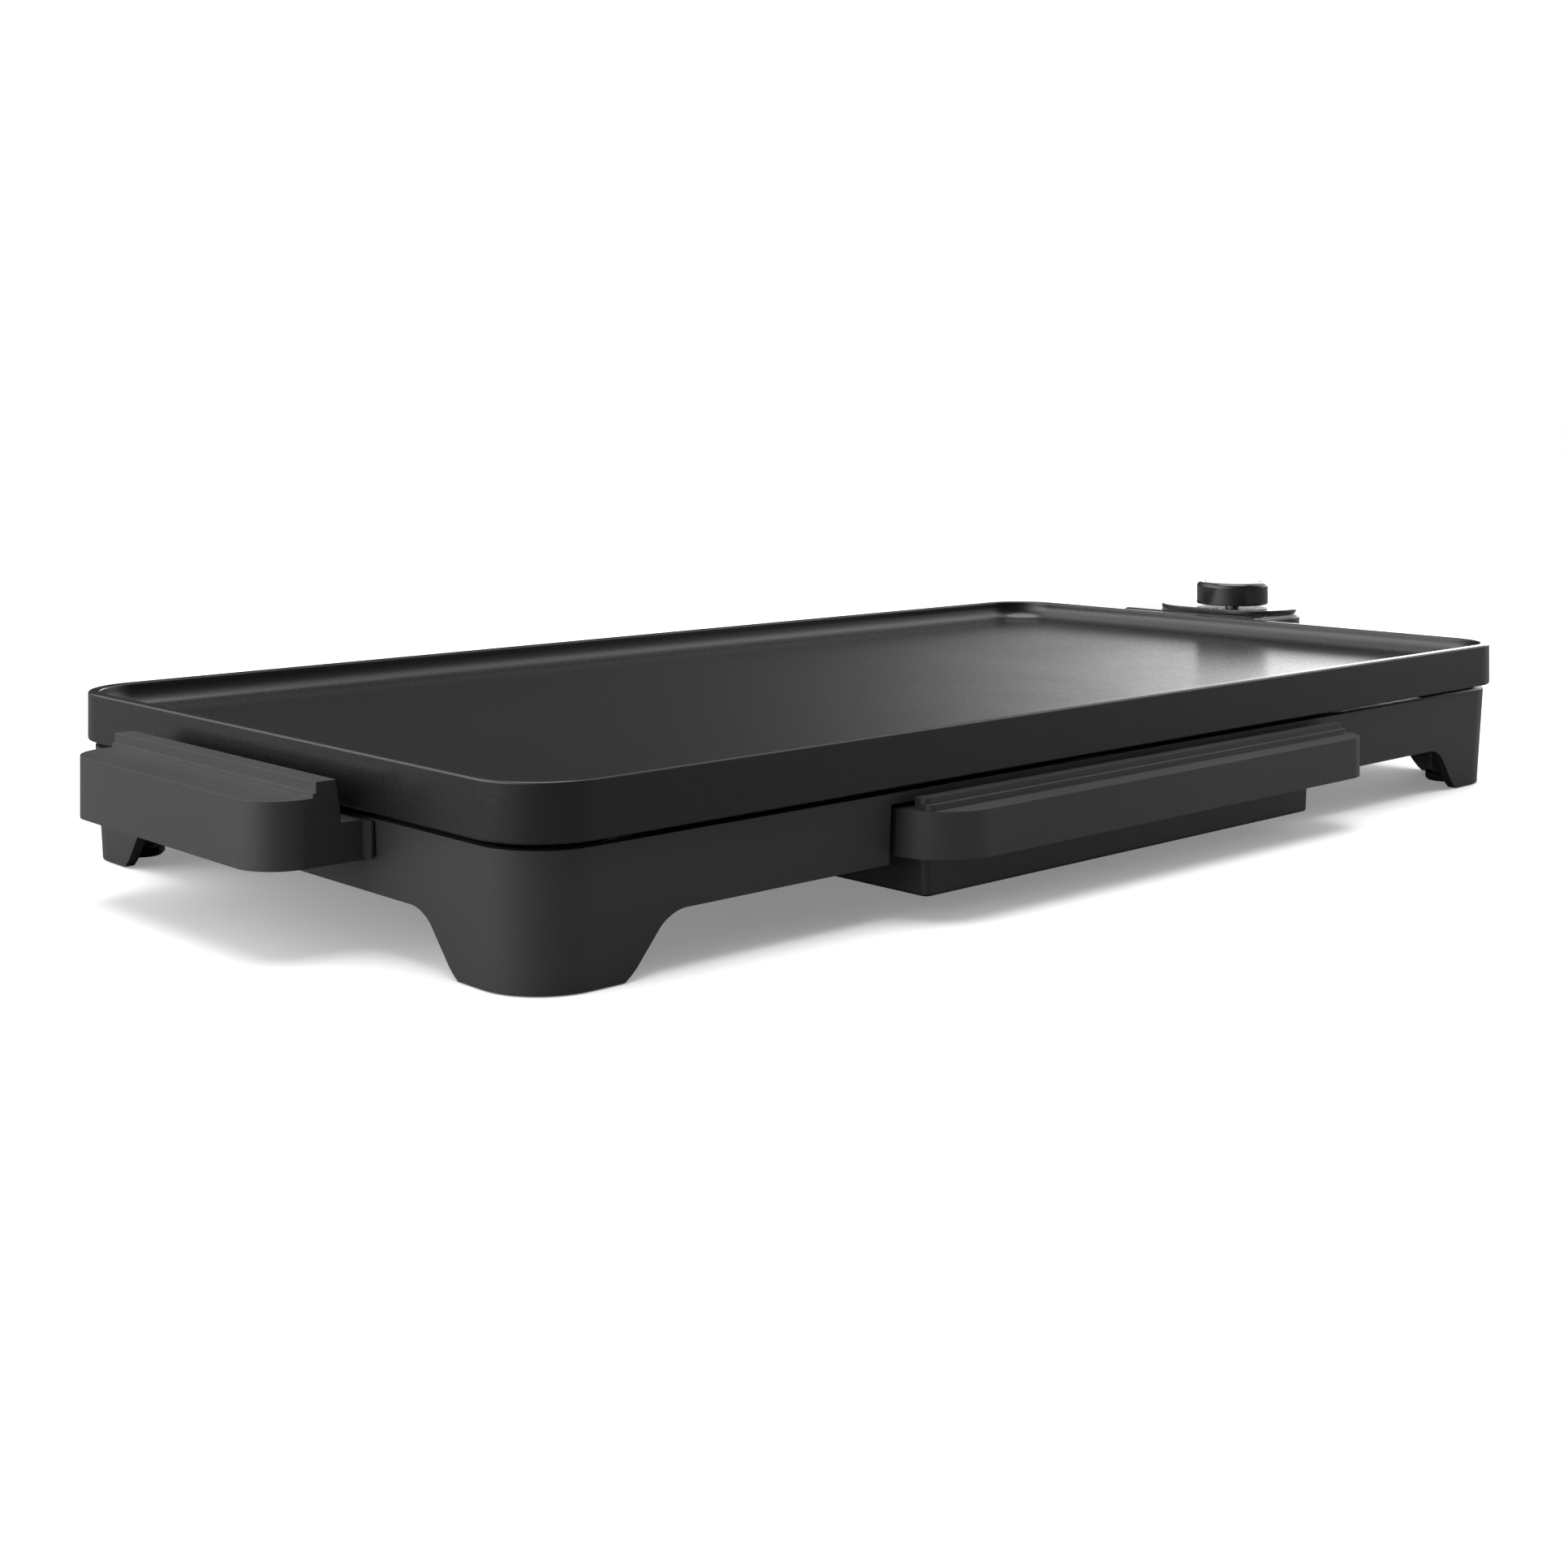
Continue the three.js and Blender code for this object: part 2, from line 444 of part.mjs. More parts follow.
// ---------- thermostat ----------
const thermoRing = (inset, z) => ring(THERMO.inner + inset, THERMO.outer - inset,
  THERMO.mid - THERMO.half + inset, THERMO.mid + THERMO.half - inset, z, 3, THERMO.radius - inset);

function thermostatLower() {
  const { bottom, split, wall } = THERMO;
  const cup = loft([thermoRing(1, bottom), thermoRing(0, bottom + 1), thermoRing(0, split - GAP / 2),
    thermoRing(wall, split - GAP / 2), thermoRing(wall, bottom + wall)]);
  const holes = [bar(PROBE.radius + GAP, 240, 252, THERMO.y, ELEMENT.terminalZ, 14)];
  for (const y of [THERMO.y - ELEMENT.spread, THERMO.y + ELEMENT.spread]) {
    holes.push(bar(SLEEVE_BORE, 240, 252, y, ELEMENT.terminalZ, 14));
  }
  holes.push(bar(4.6, 290, 300, THERMO.y, THERMO.glandZ, 14));
  for (const y of HOUSING_SCREWS) holes.push(pillar(SCREW.bore, 20, 40, THERMO.screwX, y, 12));
  return cut(cup, ...holes);
}

function thermostatUpper() {
  const { split, top, wall, edge } = THERMO;
  const rim = split + GAP / 2;
  const outside = loft([thermoRing(0, rim), thermoRing(0, top - edge),
    thermoRing(0.3 * edge, top - 0.3 * edge), thermoRing(edge, top)]);
  const cup = cut(outside, loft([thermoRing(wall, rim - 5), thermoRing(wall, top - wall)]));
  const bosses = HOUSING_SCREWS.map((y) => pillar(4.4, split + 1, top - wall + 0.5, THERMO.screwX, y, 12));
  const holes = [pillar(KNOB.spindle + 2 * GAP, 40, 70, KNOB.x, THERMO.y, 16),
    bar(LAMP.lens + GAP, 290, 300, LAMP.y, LAMP.z, 14)];
  for (const y of HOUSING_SCREWS) holes.push(pillar(SCREW.bore, 40, top - wall - 1, THERMO.screwX, y, 12));
  return cut(join(cup, ...bosses), ...holes);
}

/** Scale plate under the knob. */
function dialPlate() {
  const { y, halfX, halfY, radius: r, thick } = DIAL;
  const z0 = THERMO.top + GAP, z1 = z0 + thick;
  const rim = (inset, z) => ring(KNOB.x - halfX + inset, KNOB.x + halfX - inset, y - halfY + inset,
    y + halfY - inset, z, r - inset);
  const bore = pillar(KNOB.spindle + 2 * GAP, 50, 70, KNOB.x, THERMO.y, 16);
  return cut(loft([rim(0, z0), rim(0, z1 - 0.4), rim(0.4, z1)]), bore);
}

/** Plain round knob with a softened top edge and a slot for its pointer. */
function knobCap() {
  const { bottom, top, radius: r, x, edge } = KNOB;
  const body = turned([[0, bottom], [r - 0.5, bottom], [r, bottom + 0.5], [r - 0.4, top - 0.7 * edge],
    [r - 0.45 * edge, top - 0.3 * edge], [r - edge, top], [0, top]], x, THERMO.y, 40);
  const socket = pillar(KNOB.spindle + GAP, bottom - 2, bottom + 5, x, THERMO.y, 16);
  const mark = box(...slotSpan(GAP), top - 0.7, top + 1);
  return cut(body, socket, mark);
}

/** Limits in X and Y of the pointer, grown by its clearance where the slot is meant. */
const slotSpan = (extra) => [KNOB.x + 6.3 - extra, KNOB.x + 13.3 + extra, THERMO.y - 0.6 - extra,
  THERMO.y + 0.6 + extra];
const knobSpindle = () =>
  pillar(KNOB.spindle, SWITCH.bossTop + GAP, KNOB.bottom + 4.7, KNOB.x, THERMO.y, 14);
const knobPointer = () => box(...slotSpan(0), KNOB.top - 0.4, KNOB.top - 0.05);

/** Snap-action switch block with a boss for the spindle. */
function switchBlock() {
  const { back, front, half, bottom, top, boss, bossTop } = SWITCH;
  return join(box(back, front, THERMO.y - half, THERMO.y + half, bottom, top),
    pillar(boss, top - 1, bossTop, KNOB.x, THERMO.y, 16));
}

/** Sensing probe, from the switch block out through the wall. */
function probeRod() {
  const { tip, radius: r, rear } = PROBE;
  return turnedAlongX([[0, tip], [r - 1, tip + 0.4], [r, tip + 2], [r, rear], [0, rear]],
    THERMO.y, ELEMENT.terminalZ, 16);
}

/** Spring contact sleeve that grips a terminal pin. */
function contactSleeve(y) {
  const body = bar(ELEMENT.sleeve, 242.5, SWITCH.back - GAP, y, ELEMENT.terminalZ, 14);
  return cut(body, bar(ELEMENT.pin + GAP, 240, 255, y, ELEMENT.terminalZ, 14));
}

/** Gland by which the supply lead leaves the housing. */
function cordGland() {
  const { glandTip: tip, glandZ: z, y, outer, wall } = THERMO;
  const waist = outer - wall - 0.8, flange = outer + GAP;
  const body = turnedAlongX([[0, waist - 2.6], [6.2, waist - 2.6], [6.2, waist], [4.2, waist], [4.2, flange],
    [5.6, flange], [5.6, tip - 0.6], [5, tip], [0, tip]], y, z, 16);
  return cut(body, bar(3, waist - 5, tip + 1, y, z, 12));
}

/** Lens of the pilot lamp, let into the outer wall, and the lamp behind it. */
function pilotLens() {
  const { lens: r, back, y, z } = LAMP;
  const front = THERMO.outer + 1.1;
  return turnedAlongX([[0, back], [r, back], [r, front - 0.5], [r - 0.9, front], [0, front]], y, z, 14);
}
const pilotLamp = () => bar(LAMP.glow, SWITCH.front + 0.5, LAMP.back - GAP, LAMP.y, LAMP.z, 12);

// ---------- assembly ----------
const part = new THREE.Group();
part.name = 'electric_griddle';

function add(name, geometry, material) {
  const mesh = new THREE.Mesh(geometry.translate(SHIFT_X, SHIFT_Y, 0), material);
  mesh.name = name;
  part.add(mesh);
}

add('base_shell', baseShell(), moulded);
for (const { tag, x, y } of footCentres()) add(`foot_pad_${tag}`, footPad(x, y), rubber);
add('griddle_plate', griddlePlate(), coated);
for (const [tag, sx, sy] of CORNERS) {
  const x = sx * POST.x, y = sy * POST.y;
  add(`plate_post_${tag}`, platePost(x, y), zinc);
  add(`plate_screw_${tag}`, screwUp(x, y, BASE.deckBottom - GAP - SCREW.headTall, PLATE.floor - 2.4), zinc);
}
add('heat_shield', heatShield(), steel);
add('heating_element', heatingElement(), zinc);
for (const [tag, s] of [['front', -1], ['back', 1]]) {
  add(`element_clamp_${tag}`, elementClamp(0, s * ELEMENT.loopY), steel);
}
for (const [tag, s] of [['front', -1], ['back', 1]]) {
  add(`terminal_pin_${tag}`, terminalPin(THERMO.y + s * ELEMENT.spread), steel);
  add(`contact_sleeve_${tag}`, contactSleeve(THERMO.y + s * ELEMENT.spread), zinc);
}
add('terminal_shroud', terminalShroud(), ceramic);
add('probe_well', probeWell(), steel);
add('probe_hanger', probeHanger(), steel);
add('tray_rail_left', trayRail(-1), moulded);
add('tray_rail_right', trayRail(1), moulded);
add('drip_tray', dripTray(), moulded);
add('tray_grip', trayGrip(), moulded);
for (const [i, x] of GRIP_SCREWS.entries()) {
  add(`tray_grip_screw_${i ? 'right' : 'left'}`, gripScrew(x), zinc);
}
add('handle_left', leftHandle(), moulded);
add('handle_right', rightHandle(), moulded);
const wallInside = HALF_L - baseInset(LEFT.screwZ) - BASE.wall;
for (const [i, y] of HANDLE_SCREWS.left.entries()) {
  add(`handle_left_screw_${i ? 'back' : 'front'}`,
    screwAlongX(y, LEFT.screwZ, -wallInside + SCREW.headTall + GAP, -HALF_L - 4, -1), zinc);
}
for (const [i, y] of HANDLE_SCREWS.right.entries()) {
  add(`handle_right_screw_${i ? 'back' : 'front'}`,
    screwAlongX(y, LEFT.screwZ, wallInside - SCREW.headTall - GAP, HALF_L + 4, 1), zinc);
}
add('thermostat_lower', thermostatLower(), moulded);
add('thermostat_upper', thermostatUpper(), glossy);
add('dial_plate', dialPlate(), glossy);
add('switch_block', switchBlock(), ceramic);
add('probe_rod', probeRod(), steel);
add('cord_gland', cordGland(), rubber);
add('pilot_lens', pilotLens(), amber);
add('pilot_lamp', pilotLamp(), ceramic);
for (const [i, y] of HOUSING_SCREWS.entries()) {
  add(`housing_screw_${i ? 'back' : 'front'}`,
    screwUp(THERMO.screwX, y, THERMO.bottom - GAP - SCREW.headTall, THERMO.top - THERMO.wall - 2), zinc);
}
add('knob_cap', knobCap(), glossy);
add('knob_spindle', knobSpindle(), steel);
add('knob_pointer', knobPointer(), white);

export default part;
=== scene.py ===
# %% [markdown]
# # Dressing an electric griddle
# The griddle comes from CAD as fifty small solids that move and collide correctly but look like
# plain facets. In this lesson each visible piece is modelled again by hand with Blender's own
# tools, at the exact place that CAD gives it, and every surface gets a finish made of nodes.
# Lengths are metres. +X runs along the griddle to the thermostat, the drip tray opens to -Y.

import json
import math

import bpy
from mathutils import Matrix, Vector


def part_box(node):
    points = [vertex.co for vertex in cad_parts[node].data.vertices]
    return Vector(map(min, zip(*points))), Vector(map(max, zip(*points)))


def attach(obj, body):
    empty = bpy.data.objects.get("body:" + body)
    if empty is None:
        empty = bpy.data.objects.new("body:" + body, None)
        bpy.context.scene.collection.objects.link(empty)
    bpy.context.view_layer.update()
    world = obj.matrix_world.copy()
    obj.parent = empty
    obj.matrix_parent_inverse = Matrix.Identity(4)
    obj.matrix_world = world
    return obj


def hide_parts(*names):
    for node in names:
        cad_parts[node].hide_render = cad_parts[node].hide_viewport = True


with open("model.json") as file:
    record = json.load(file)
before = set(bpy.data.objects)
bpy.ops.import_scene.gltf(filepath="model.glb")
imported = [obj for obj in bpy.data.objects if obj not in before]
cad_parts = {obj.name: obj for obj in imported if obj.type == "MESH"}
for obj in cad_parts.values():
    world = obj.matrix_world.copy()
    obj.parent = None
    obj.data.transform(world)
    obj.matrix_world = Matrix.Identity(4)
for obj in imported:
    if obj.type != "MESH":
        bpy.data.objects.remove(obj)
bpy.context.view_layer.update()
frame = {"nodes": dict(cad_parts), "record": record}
nodes = frame["nodes"]
MM = 0.001

# %% [markdown]
# The camera comes first, so that every later step can be checked through it. It stands low, in
# front of the left corner, and looks level, which keeps all upright edges parallel. A level view
# would place the horizon in the middle, so the lens is shifted, as on a studio view camera, until
# the griddle sits where it should. The distances are measured from the cooking plate's middle.

# %% Camera
plate_low, plate_high = (Vector(corner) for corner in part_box("griddle_plate"))
plate_middle = (plate_low + plate_high) / 2
PLATE_LENGTH = plate_high.x - plate_low.x
PLATE_DEPTH = plate_high.y - plate_low.y

CAMERA_LEFT = 559 * MM
CAMERA_FRONT = 557.7 * MM
CAMERA_HEIGHT = 149.6 * MM
CAMERA_YAW = math.radians(47.15)
SENSOR = 36.0
LENS = 48.96
LENS_SHIFT = (0.0087, -0.2393)
LEVEL = math.radians(90)


def place_camera():
    """Adds the level camera with its shifted lens and makes it the scene's camera."""
    place = (plate_middle.x - CAMERA_LEFT, plate_middle.y - CAMERA_FRONT, CAMERA_HEIGHT)
    bpy.ops.object.camera_add(location=place, rotation=(LEVEL, 0, CAMERA_YAW - LEVEL))
    camera = bpy.context.object
    camera.name = "studio_camera"
    camera.data.sensor_width = SENSOR
    camera.data.lens = LENS
    camera.data.shift_x, camera.data.shift_y = LENS_SHIFT
    camera.data.clip_start = 0.01
    bpy.context.scene.camera = camera
    return camera


camera = place_camera()
print("camera at", [round(v, 3) for v in camera.location])

# %% [markdown]
# ## Light
# A black object shows its studio more than itself: what reads as its shape is the reflection of
# bright and dim areas. Lamps could be placed one by one, but a sky painted by direction is
# smoother and quicker. Its maths is written with the small class below, which is also used for
# every finish. It wraps a node's output, and arithmetic on it adds Math nodes.

# %% Node arithmetic
class Wire:
    """An output socket in a node tree. Sums and products of wires add Math nodes."""

    def __init__(self, tree, socket):
        self.tree = tree
        self.socket = socket

    def math(self, operation, other, swapped=False, clamp=False):
        """Math node on this wire and another wire or number; swapped puts the other one first."""
        pair = (other, self) if swapped else (self, other)
        settings = {"operation": operation, "use_clamp": clamp}
        return add_node(self.tree, "ShaderNodeMath", settings, {0: pair[0], 1: pair[1]})

    def __add__(self, other):
        return self.math("ADD", other)

    def __radd__(self, other):
        return self.math("ADD", other, swapped=True)

    def __sub__(self, other):
        return self.math("SUBTRACT", other)

    def __rsub__(self, other):
        return self.math("SUBTRACT", other, swapped=True)

    def __mul__(self, other):
        return self.math("MULTIPLY", other)

    def __pow__(self, other):
        return self.math("POWER", other)

    def clamped(self):
        """The same value held between 0 and 1."""
        return self.math("ADD", 0.0, clamp=True)


def add_node(tree, kind, settings=None, inputs=None, output=0):
    """Adds one node, sets it up, then gives its sockets numbers or wires. Returns its output."""
    node = tree.nodes.new(kind)
    for name, value in (settings or {}).items():
        if name == "stops":
            set_stops(node.color_ramp, value)
        else:
            setattr(node, name, value)
    for key, value in (inputs or {}).items():
        if isinstance(value, Wire):
            tree.links.new(value.socket, node.inputs[key])
        else:
            node.inputs[key].default_value = value
    return Wire(tree, node.outputs[output]) if node.outputs else None


def set_stops(ramp, stops):
    """Gives a colour ramp its (position, grey) stops."""
    while len(ramp.elements) < len(stops):
        ramp.elements.new(1.0)
    for element, (position, grey) in zip(ramp.elements, stops):
        element.position = position
        element.color = (grey, grey, grey, 1.0)


# %% [markdown]
# The sky has a dim level everywhere and six soft glows: a faint wide one above, a broad bright one
# low on the left, a narrow brilliant one low behind the right end, one half-way up behind, one
# half-way up on the right, and one low on the right. The front stays dim, so the front faces read
# darker than the left ones. The camera itself sees plain white behind the griddle.

# %% Studio sky
GLOWS = (
    # direction, sharpness, strength
    ((0.0, 0.1, 1.0), 2.0, 0.1),
    ((-0.95, 0.35, 0.05), 4.0, 4.9),
    ((0.93, 0.37, 0.08), 55.0, 12.0),
    ((-0.23, 0.7, 0.65), 16.0, 1.8),
    ((0.67, -0.23, 0.68), 16.0, 1.8),
    ((1.0, -0.2, 0.12), 8.0, 2.0),
)
SKY_LEVEL = 0.05
SEEN_SKY = 1.0


def studio_sky():
    """Builds the world: direction glows for the light, plain white for the camera."""
    world = bpy.data.worlds.new("studio_sky")
    bpy.context.scene.world = world
    world.use_nodes = True
    tree = world.node_tree
    tree.nodes.clear()
    direction = add_node(tree, "ShaderNodeTexCoord", output="Generated")
    light = None
    for aim, sharpness, strength in GLOWS:
        facing = add_node(tree, "ShaderNodeVectorMath", {"operation": "DOT_PRODUCT"},
                          {0: direction, 1: Vector(aim).normalized()}, "Value")
        glow = facing.clamped() ** sharpness * strength
        light = glow if light is None else light + glow
    light = light + SKY_LEVEL
    seen = add_node(tree, "ShaderNodeLightPath", output="Is Camera Ray")
    brightness = light * (1 - seen) + seen * SEEN_SKY
    background = add_node(tree, "ShaderNodeBackground", None,
                          {"Color": (1, 1, 1, 1), "Strength": brightness})
    add_node(tree, "ShaderNodeOutputWorld", None, {"Surface": background})


studio_sky()
bpy.context.scene.view_settings.view_transform = "Standard"
print("sky with", len(GLOWS), "glows")

# %% [markdown]
# One broad lamp high above gives the floor its even white and the soft shadow round the feet.

# %% Overhead lamp
LAMP_SPREAD = math.radians(52)
LAMP_POWER = 2.8


def overhead_lamp():
    """Adds a distant lamp straight above, wide enough to cast only soft shadows."""
    bpy.ops.object.light_add(type="SUN", location=(0, 0, 1.6))
    lamp = bpy.context.object
    lamp.name = "overhead_lamp"
    lamp.data.angle = LAMP_SPREAD
    lamp.data.energy = LAMP_POWER
    return lamp


lamp = overhead_lamp()
print(f"{lamp.name}: strength {lamp.data.energy:.1f}, {math.degrees(lamp.data.angle):.0f} degrees wide")

# %% [markdown]
# ## Finishes
# Every finish starts from the Principled shader. A value that is the same all over is set on its
# socket. What varies is noise on object coordinates, so it stays fixed to the piece.

# %% Finish builder
class Finish:
    """A material being mixed: a Principled shader and the nodes that feed it."""

    def __init__(self, name, **constants):
        self.material = bpy.data.materials.new(name)
        self.material.use_nodes = True
        self.tree = self.material.node_tree
        self.shader = self.tree.nodes["Principled BSDF"]
        self.place = self.node("ShaderNodeTexCoord", output="Object")
        for socket, value in constants.items():
            self.shader.inputs[socket.replace("_", " ")].default_value = value

    def node(self, kind, settings=None, inputs=None, output=0):
        """Any node of this material."""
        return add_node(self.tree, kind, settings, inputs, output)

    def noise(self, size, detail=3.0, stretch=(1, 1, 1)):
        """Soft random blotches about `size` metres across; stretch shortens them along an axis."""
        spot = self.node("ShaderNodeVectorMath", {"operation": "MULTIPLY"}, {0: self.place, 1: stretch})
        return self.node("ShaderNodeTexNoise", None,
                         {"Vector": spot, "Scale": 1.0 / size, "Detail": detail, "Roughness": 0.55})

    def pits(self, size):
        """Small round cells about `size` metres across, 0 at their middles."""
        return self.node("ShaderNodeTexVoronoi", None, {"Vector": self.place, "Scale": 1.0 / size})

    def colour(self, dark, light, amount):
        """Feeds the base colour with a blend of two colours."""
        mixed = self.node("ShaderNodeMix", {"data_type": "RGBA"},
                          {"Factor": amount, 6: (*dark, 1.0), 7: (*light, 1.0)}, 2)
        self.feed("Base Color", mixed)

    def bump(self, height, depth):
        """Feeds the normal with a relief of `depth` metres."""
        self.feed("Normal", self.node("ShaderNodeBump", None, {"Height": height, "Distance": depth}))

    def feed(self, socket, wire):
        """Links a wire to one of the shader's sockets."""
        self.tree.links.new(wire.socket, self.shader.inputs[socket])


# %% [markdown]
# The base, handles and tray are moulded in one black plastic. Its mould is spark-eroded, which
# leaves a fine, even grain: a satin surface that spreads highlights without sparkling.

# %% Moulded plastic
def moulded_plastic():
    """Black plastic with a fine spark-eroded grain."""
    finish = Finish("moulded_plastic", IOR=1.5)
    grain = finish.noise(0.5 * MM, 2.0)
    drift = finish.noise(45 * MM, 2.0)
    finish.colour((0.030, 0.030, 0.031), (0.041, 0.041, 0.043), drift)
    finish.feed("Roughness", 0.33 + grain * 0.10 + drift * 0.06)
    finish.bump(grain, 0.018 * MM)
    return finish.material


# %% [markdown]
# The plate is cast aluminium under a sprayed non-stick coating. Sprayed coatings dry with a very
# slight orange peel, and the dark coat carries faint paler flecks.

# %% Non-stick coating
def non_stick_coating():
    """Satin black coating with orange peel and faint flecks."""
    finish = Finish("non_stick_coating", IOR=1.5)
    peel = finish.noise(2.2 * MM, 1.0)
    fleck = finish.noise(0.35 * MM, 2.0)
    shine = finish.noise(60 * MM, 2.0)
    pale = ((fleck - 0.66) * 9.0).clamped()
    finish.colour((0.009, 0.009, 0.0095), (0.040, 0.040, 0.042), pale * 0.5)
    finish.feed("Roughness", 0.20 + peel * 0.06 + shine * 0.08)
    finish.bump(peel + fleck * 0.15, 0.012 * MM)
    return finish.material


# %% [markdown]
# The thermostat's cover and knob are polished plastic. Even a polished face is never perfect:
# broad, shallow waves bend its reflections and handling leaves slightly duller patches.

# %% Polished plastic
def polished_plastic():
    """Glossy black plastic with slight waves and handling marks."""
    finish = Finish("polished_plastic", IOR=1.52, Coat_Roughness=0.04)
    wave = finish.noise(18 * MM, 1.0)
    touch = finish.noise(7 * MM, 4.0)
    finish.colour((0.010, 0.010, 0.011), (0.020, 0.020, 0.021), wave)
    finish.feed("Roughness", 0.12 + ((touch - 0.45) * 1.6).clamped() * 0.14)
    finish.bump(wave, 0.05 * MM)
    return finish.material


# %% [markdown]
# Metals need colour variation in the reflection itself. Sheet steel shows the rolling direction as
# long fine streaks; zinc plating is clouded and slightly yellow.

# %% Metals
def rolled_steel():
    """Plain steel with streaks along X."""
    finish = Finish("rolled_steel", Metallic=1.0)
    streak = finish.noise(1.2 * MM, 3.0, (0.02, 1, 1))
    cloud = finish.noise(25 * MM)
    finish.colour((0.42, 0.42, 0.43), (0.66, 0.65, 0.64), streak)
    finish.feed("Roughness", 0.26 + streak * 0.14 + cloud * 0.08)
    finish.bump(streak, 0.01 * MM)
    return finish.material


def zinc_plating():
    """Clouded, faintly yellow zinc plating."""
    finish = Finish("zinc_plating", Metallic=1.0)
    cloud = finish.noise(3 * MM, 4.0)
    finish.colour((0.50, 0.49, 0.46), (0.72, 0.70, 0.66), cloud)
    finish.feed("Roughness", 0.28 + cloud * 0.2)
    finish.bump(cloud, 0.01 * MM)
    return finish.material


# %% [markdown]
# Rubber, ceramic, the lamp's lens and the printed marks are small, but each is seen from some
# side, so each gets its own texture too.

# %% Rubber, ceramic, lens and print
def foot_rubber():
    """Dull black rubber with a dusty bloom."""
    finish = Finish("foot_rubber", IOR=1.5)
    bloom = finish.noise(4 * MM, 4.0)
    finish.colour((0.018, 0.018, 0.018), (0.050, 0.048, 0.046), bloom * bloom)
    finish.feed("Roughness", 0.72 + bloom * 0.2)
    finish.bump(finish.noise(0.6 * MM), 0.05 * MM)
    return finish.material


def fired_ceramic():
    """Unglazed ceramic with a sandy grain."""
    finish = Finish("fired_ceramic", IOR=1.55)
    sand = finish.pits(0.9 * MM)
    cloud = finish.noise(6 * MM)
    finish.colour((0.52, 0.47, 0.37), (0.74, 0.70, 0.60), cloud)
    finish.feed("Roughness", 0.62 + sand * 0.25)
    finish.bump(sand, 0.05 * MM)
    return finish.material


def amber_lens():
    """Clear orange plastic, a little cloudy inside."""
    finish = Finish("amber_lens", IOR=1.49, Transmission_Weight=0.35)
    cloud = finish.noise(1.5 * MM)
    finish.colour((0.62, 0.14, 0.02), (0.85, 0.28, 0.05), cloud)
    finish.feed("Roughness", 0.1 + cloud * 0.12)
    return finish.material


def white_print():
    """Pad-printed white ink, thin enough to show a slight mottle."""
    finish = Finish("white_print")
    mottle = finish.noise(0.4 * MM)
    finish.colour((0.55, 0.55, 0.54), (0.80, 0.80, 0.78), mottle)
    finish.feed("Roughness", 0.45 + mottle * 0.15)
    return finish.material


FINISHES = {
    "moulded_black": moulded_plastic(),
    "coated_black": non_stick_coating(),
    "gloss_black": polished_plastic(),
    "bare_steel": rolled_steel(),
    "zinc_steel": zinc_plating(),
    "foot_rubber": foot_rubber(),
    "insulator": fired_ceramic(),
    "lamp_amber": amber_lens(),
    "print_white": white_print(),
}
slot_of = {entry["node"]: entry["material_slot"] for entry in frame["record"]["subparts"]}
print("finishes:", ", ".join(sorted(FINISHES)))

# %% [markdown]
# CAD nodes that stay are given the finish of their own material slot. Their meshes are left alone.

# %% Finishes for the CAD nodes
for name, node in nodes.items():
    node.data.materials.clear()
    node.data.materials.append(FINISHES[slot_of[name]])
print("finished", len(nodes), "CAD nodes")

# %% [markdown]
# ## Modelling helpers
# Each piece starts as a primitive at its real size and place. Operators act on whatever is
# selected, so the helpers below first clear the selection and then select by position or normal.

# %% Starting shapes
def work_on(piece):
    """Makes one object the only selected and active one, in object mode."""
    if bpy.context.object and bpy.context.object.mode != "OBJECT":
        bpy.ops.object.mode_set(mode="OBJECT")
    bpy.ops.object.select_all(action="DESELECT")
    piece.select_set(True)
    bpy.context.view_layer.objects.active = piece


def named(name):
    """Names the primitive just added and puts its place and size into its mesh."""
    piece = bpy.context.object
    piece.name = name
    piece.data.name = name
    bpy.ops.object.transform_apply(location=True, rotation=True, scale=True)
    return piece


def block(name, low, high):
    """A cube primitive filling the box between two corners."""
    bpy.ops.object.select_all(action="DESELECT")
    low, high = Vector(low), Vector(high)
    bpy.ops.mesh.primitive_cube_add(size=1, location=(low + high) / 2, scale=high - low)
    return named(name)


STEPS = {"X": Vector((1, 0, 0)), "Y": Vector((0, 1, 0)), "Z": Vector((0, 0, 1))}
TURNS = {"X": (0, math.radians(90), 0), "Y": (math.radians(90), 0, 0), "Z": (0, 0, 0)}
SCREW_BORE = 2.3 * MM


def rod(name, radius, start, length, axis="Z", sides=32):
    """A cylinder primitive that begins at a point and runs along +X, +Y or +Z."""
    bpy.ops.object.select_all(action="DESELECT")
    bpy.ops.mesh.primitive_cylinder_add(vertices=sides, radius=radius, depth=length,
                                        location=Vector(start) + STEPS[axis] * length / 2,
                                        rotation=TURNS[axis])
    return named(name)


def screw_bore(start, length, axis="Z"):
    """Cutter for one screw's hole."""
    return rod("bore", SCREW_BORE, start, length, axis, 20)


print(f"screw holes: {SCREW_BORE * 2 / MM:.1f} mm across")


# %% Selecting by place
def edit_faces(piece, test):
    """Edit mode with only the faces selected whose centre and normal pass the test."""
    work_on(piece)
    mesh = piece.data
    for vertex in mesh.vertices:
        vertex.select = False
    for edge in mesh.edges:
        edge.select = False
    for face in mesh.polygons:
        face.select = bool(test(face.center, face.normal))
    bpy.context.tool_settings.mesh_select_mode = (False, False, True)
    bpy.ops.object.mode_set(mode="EDIT")


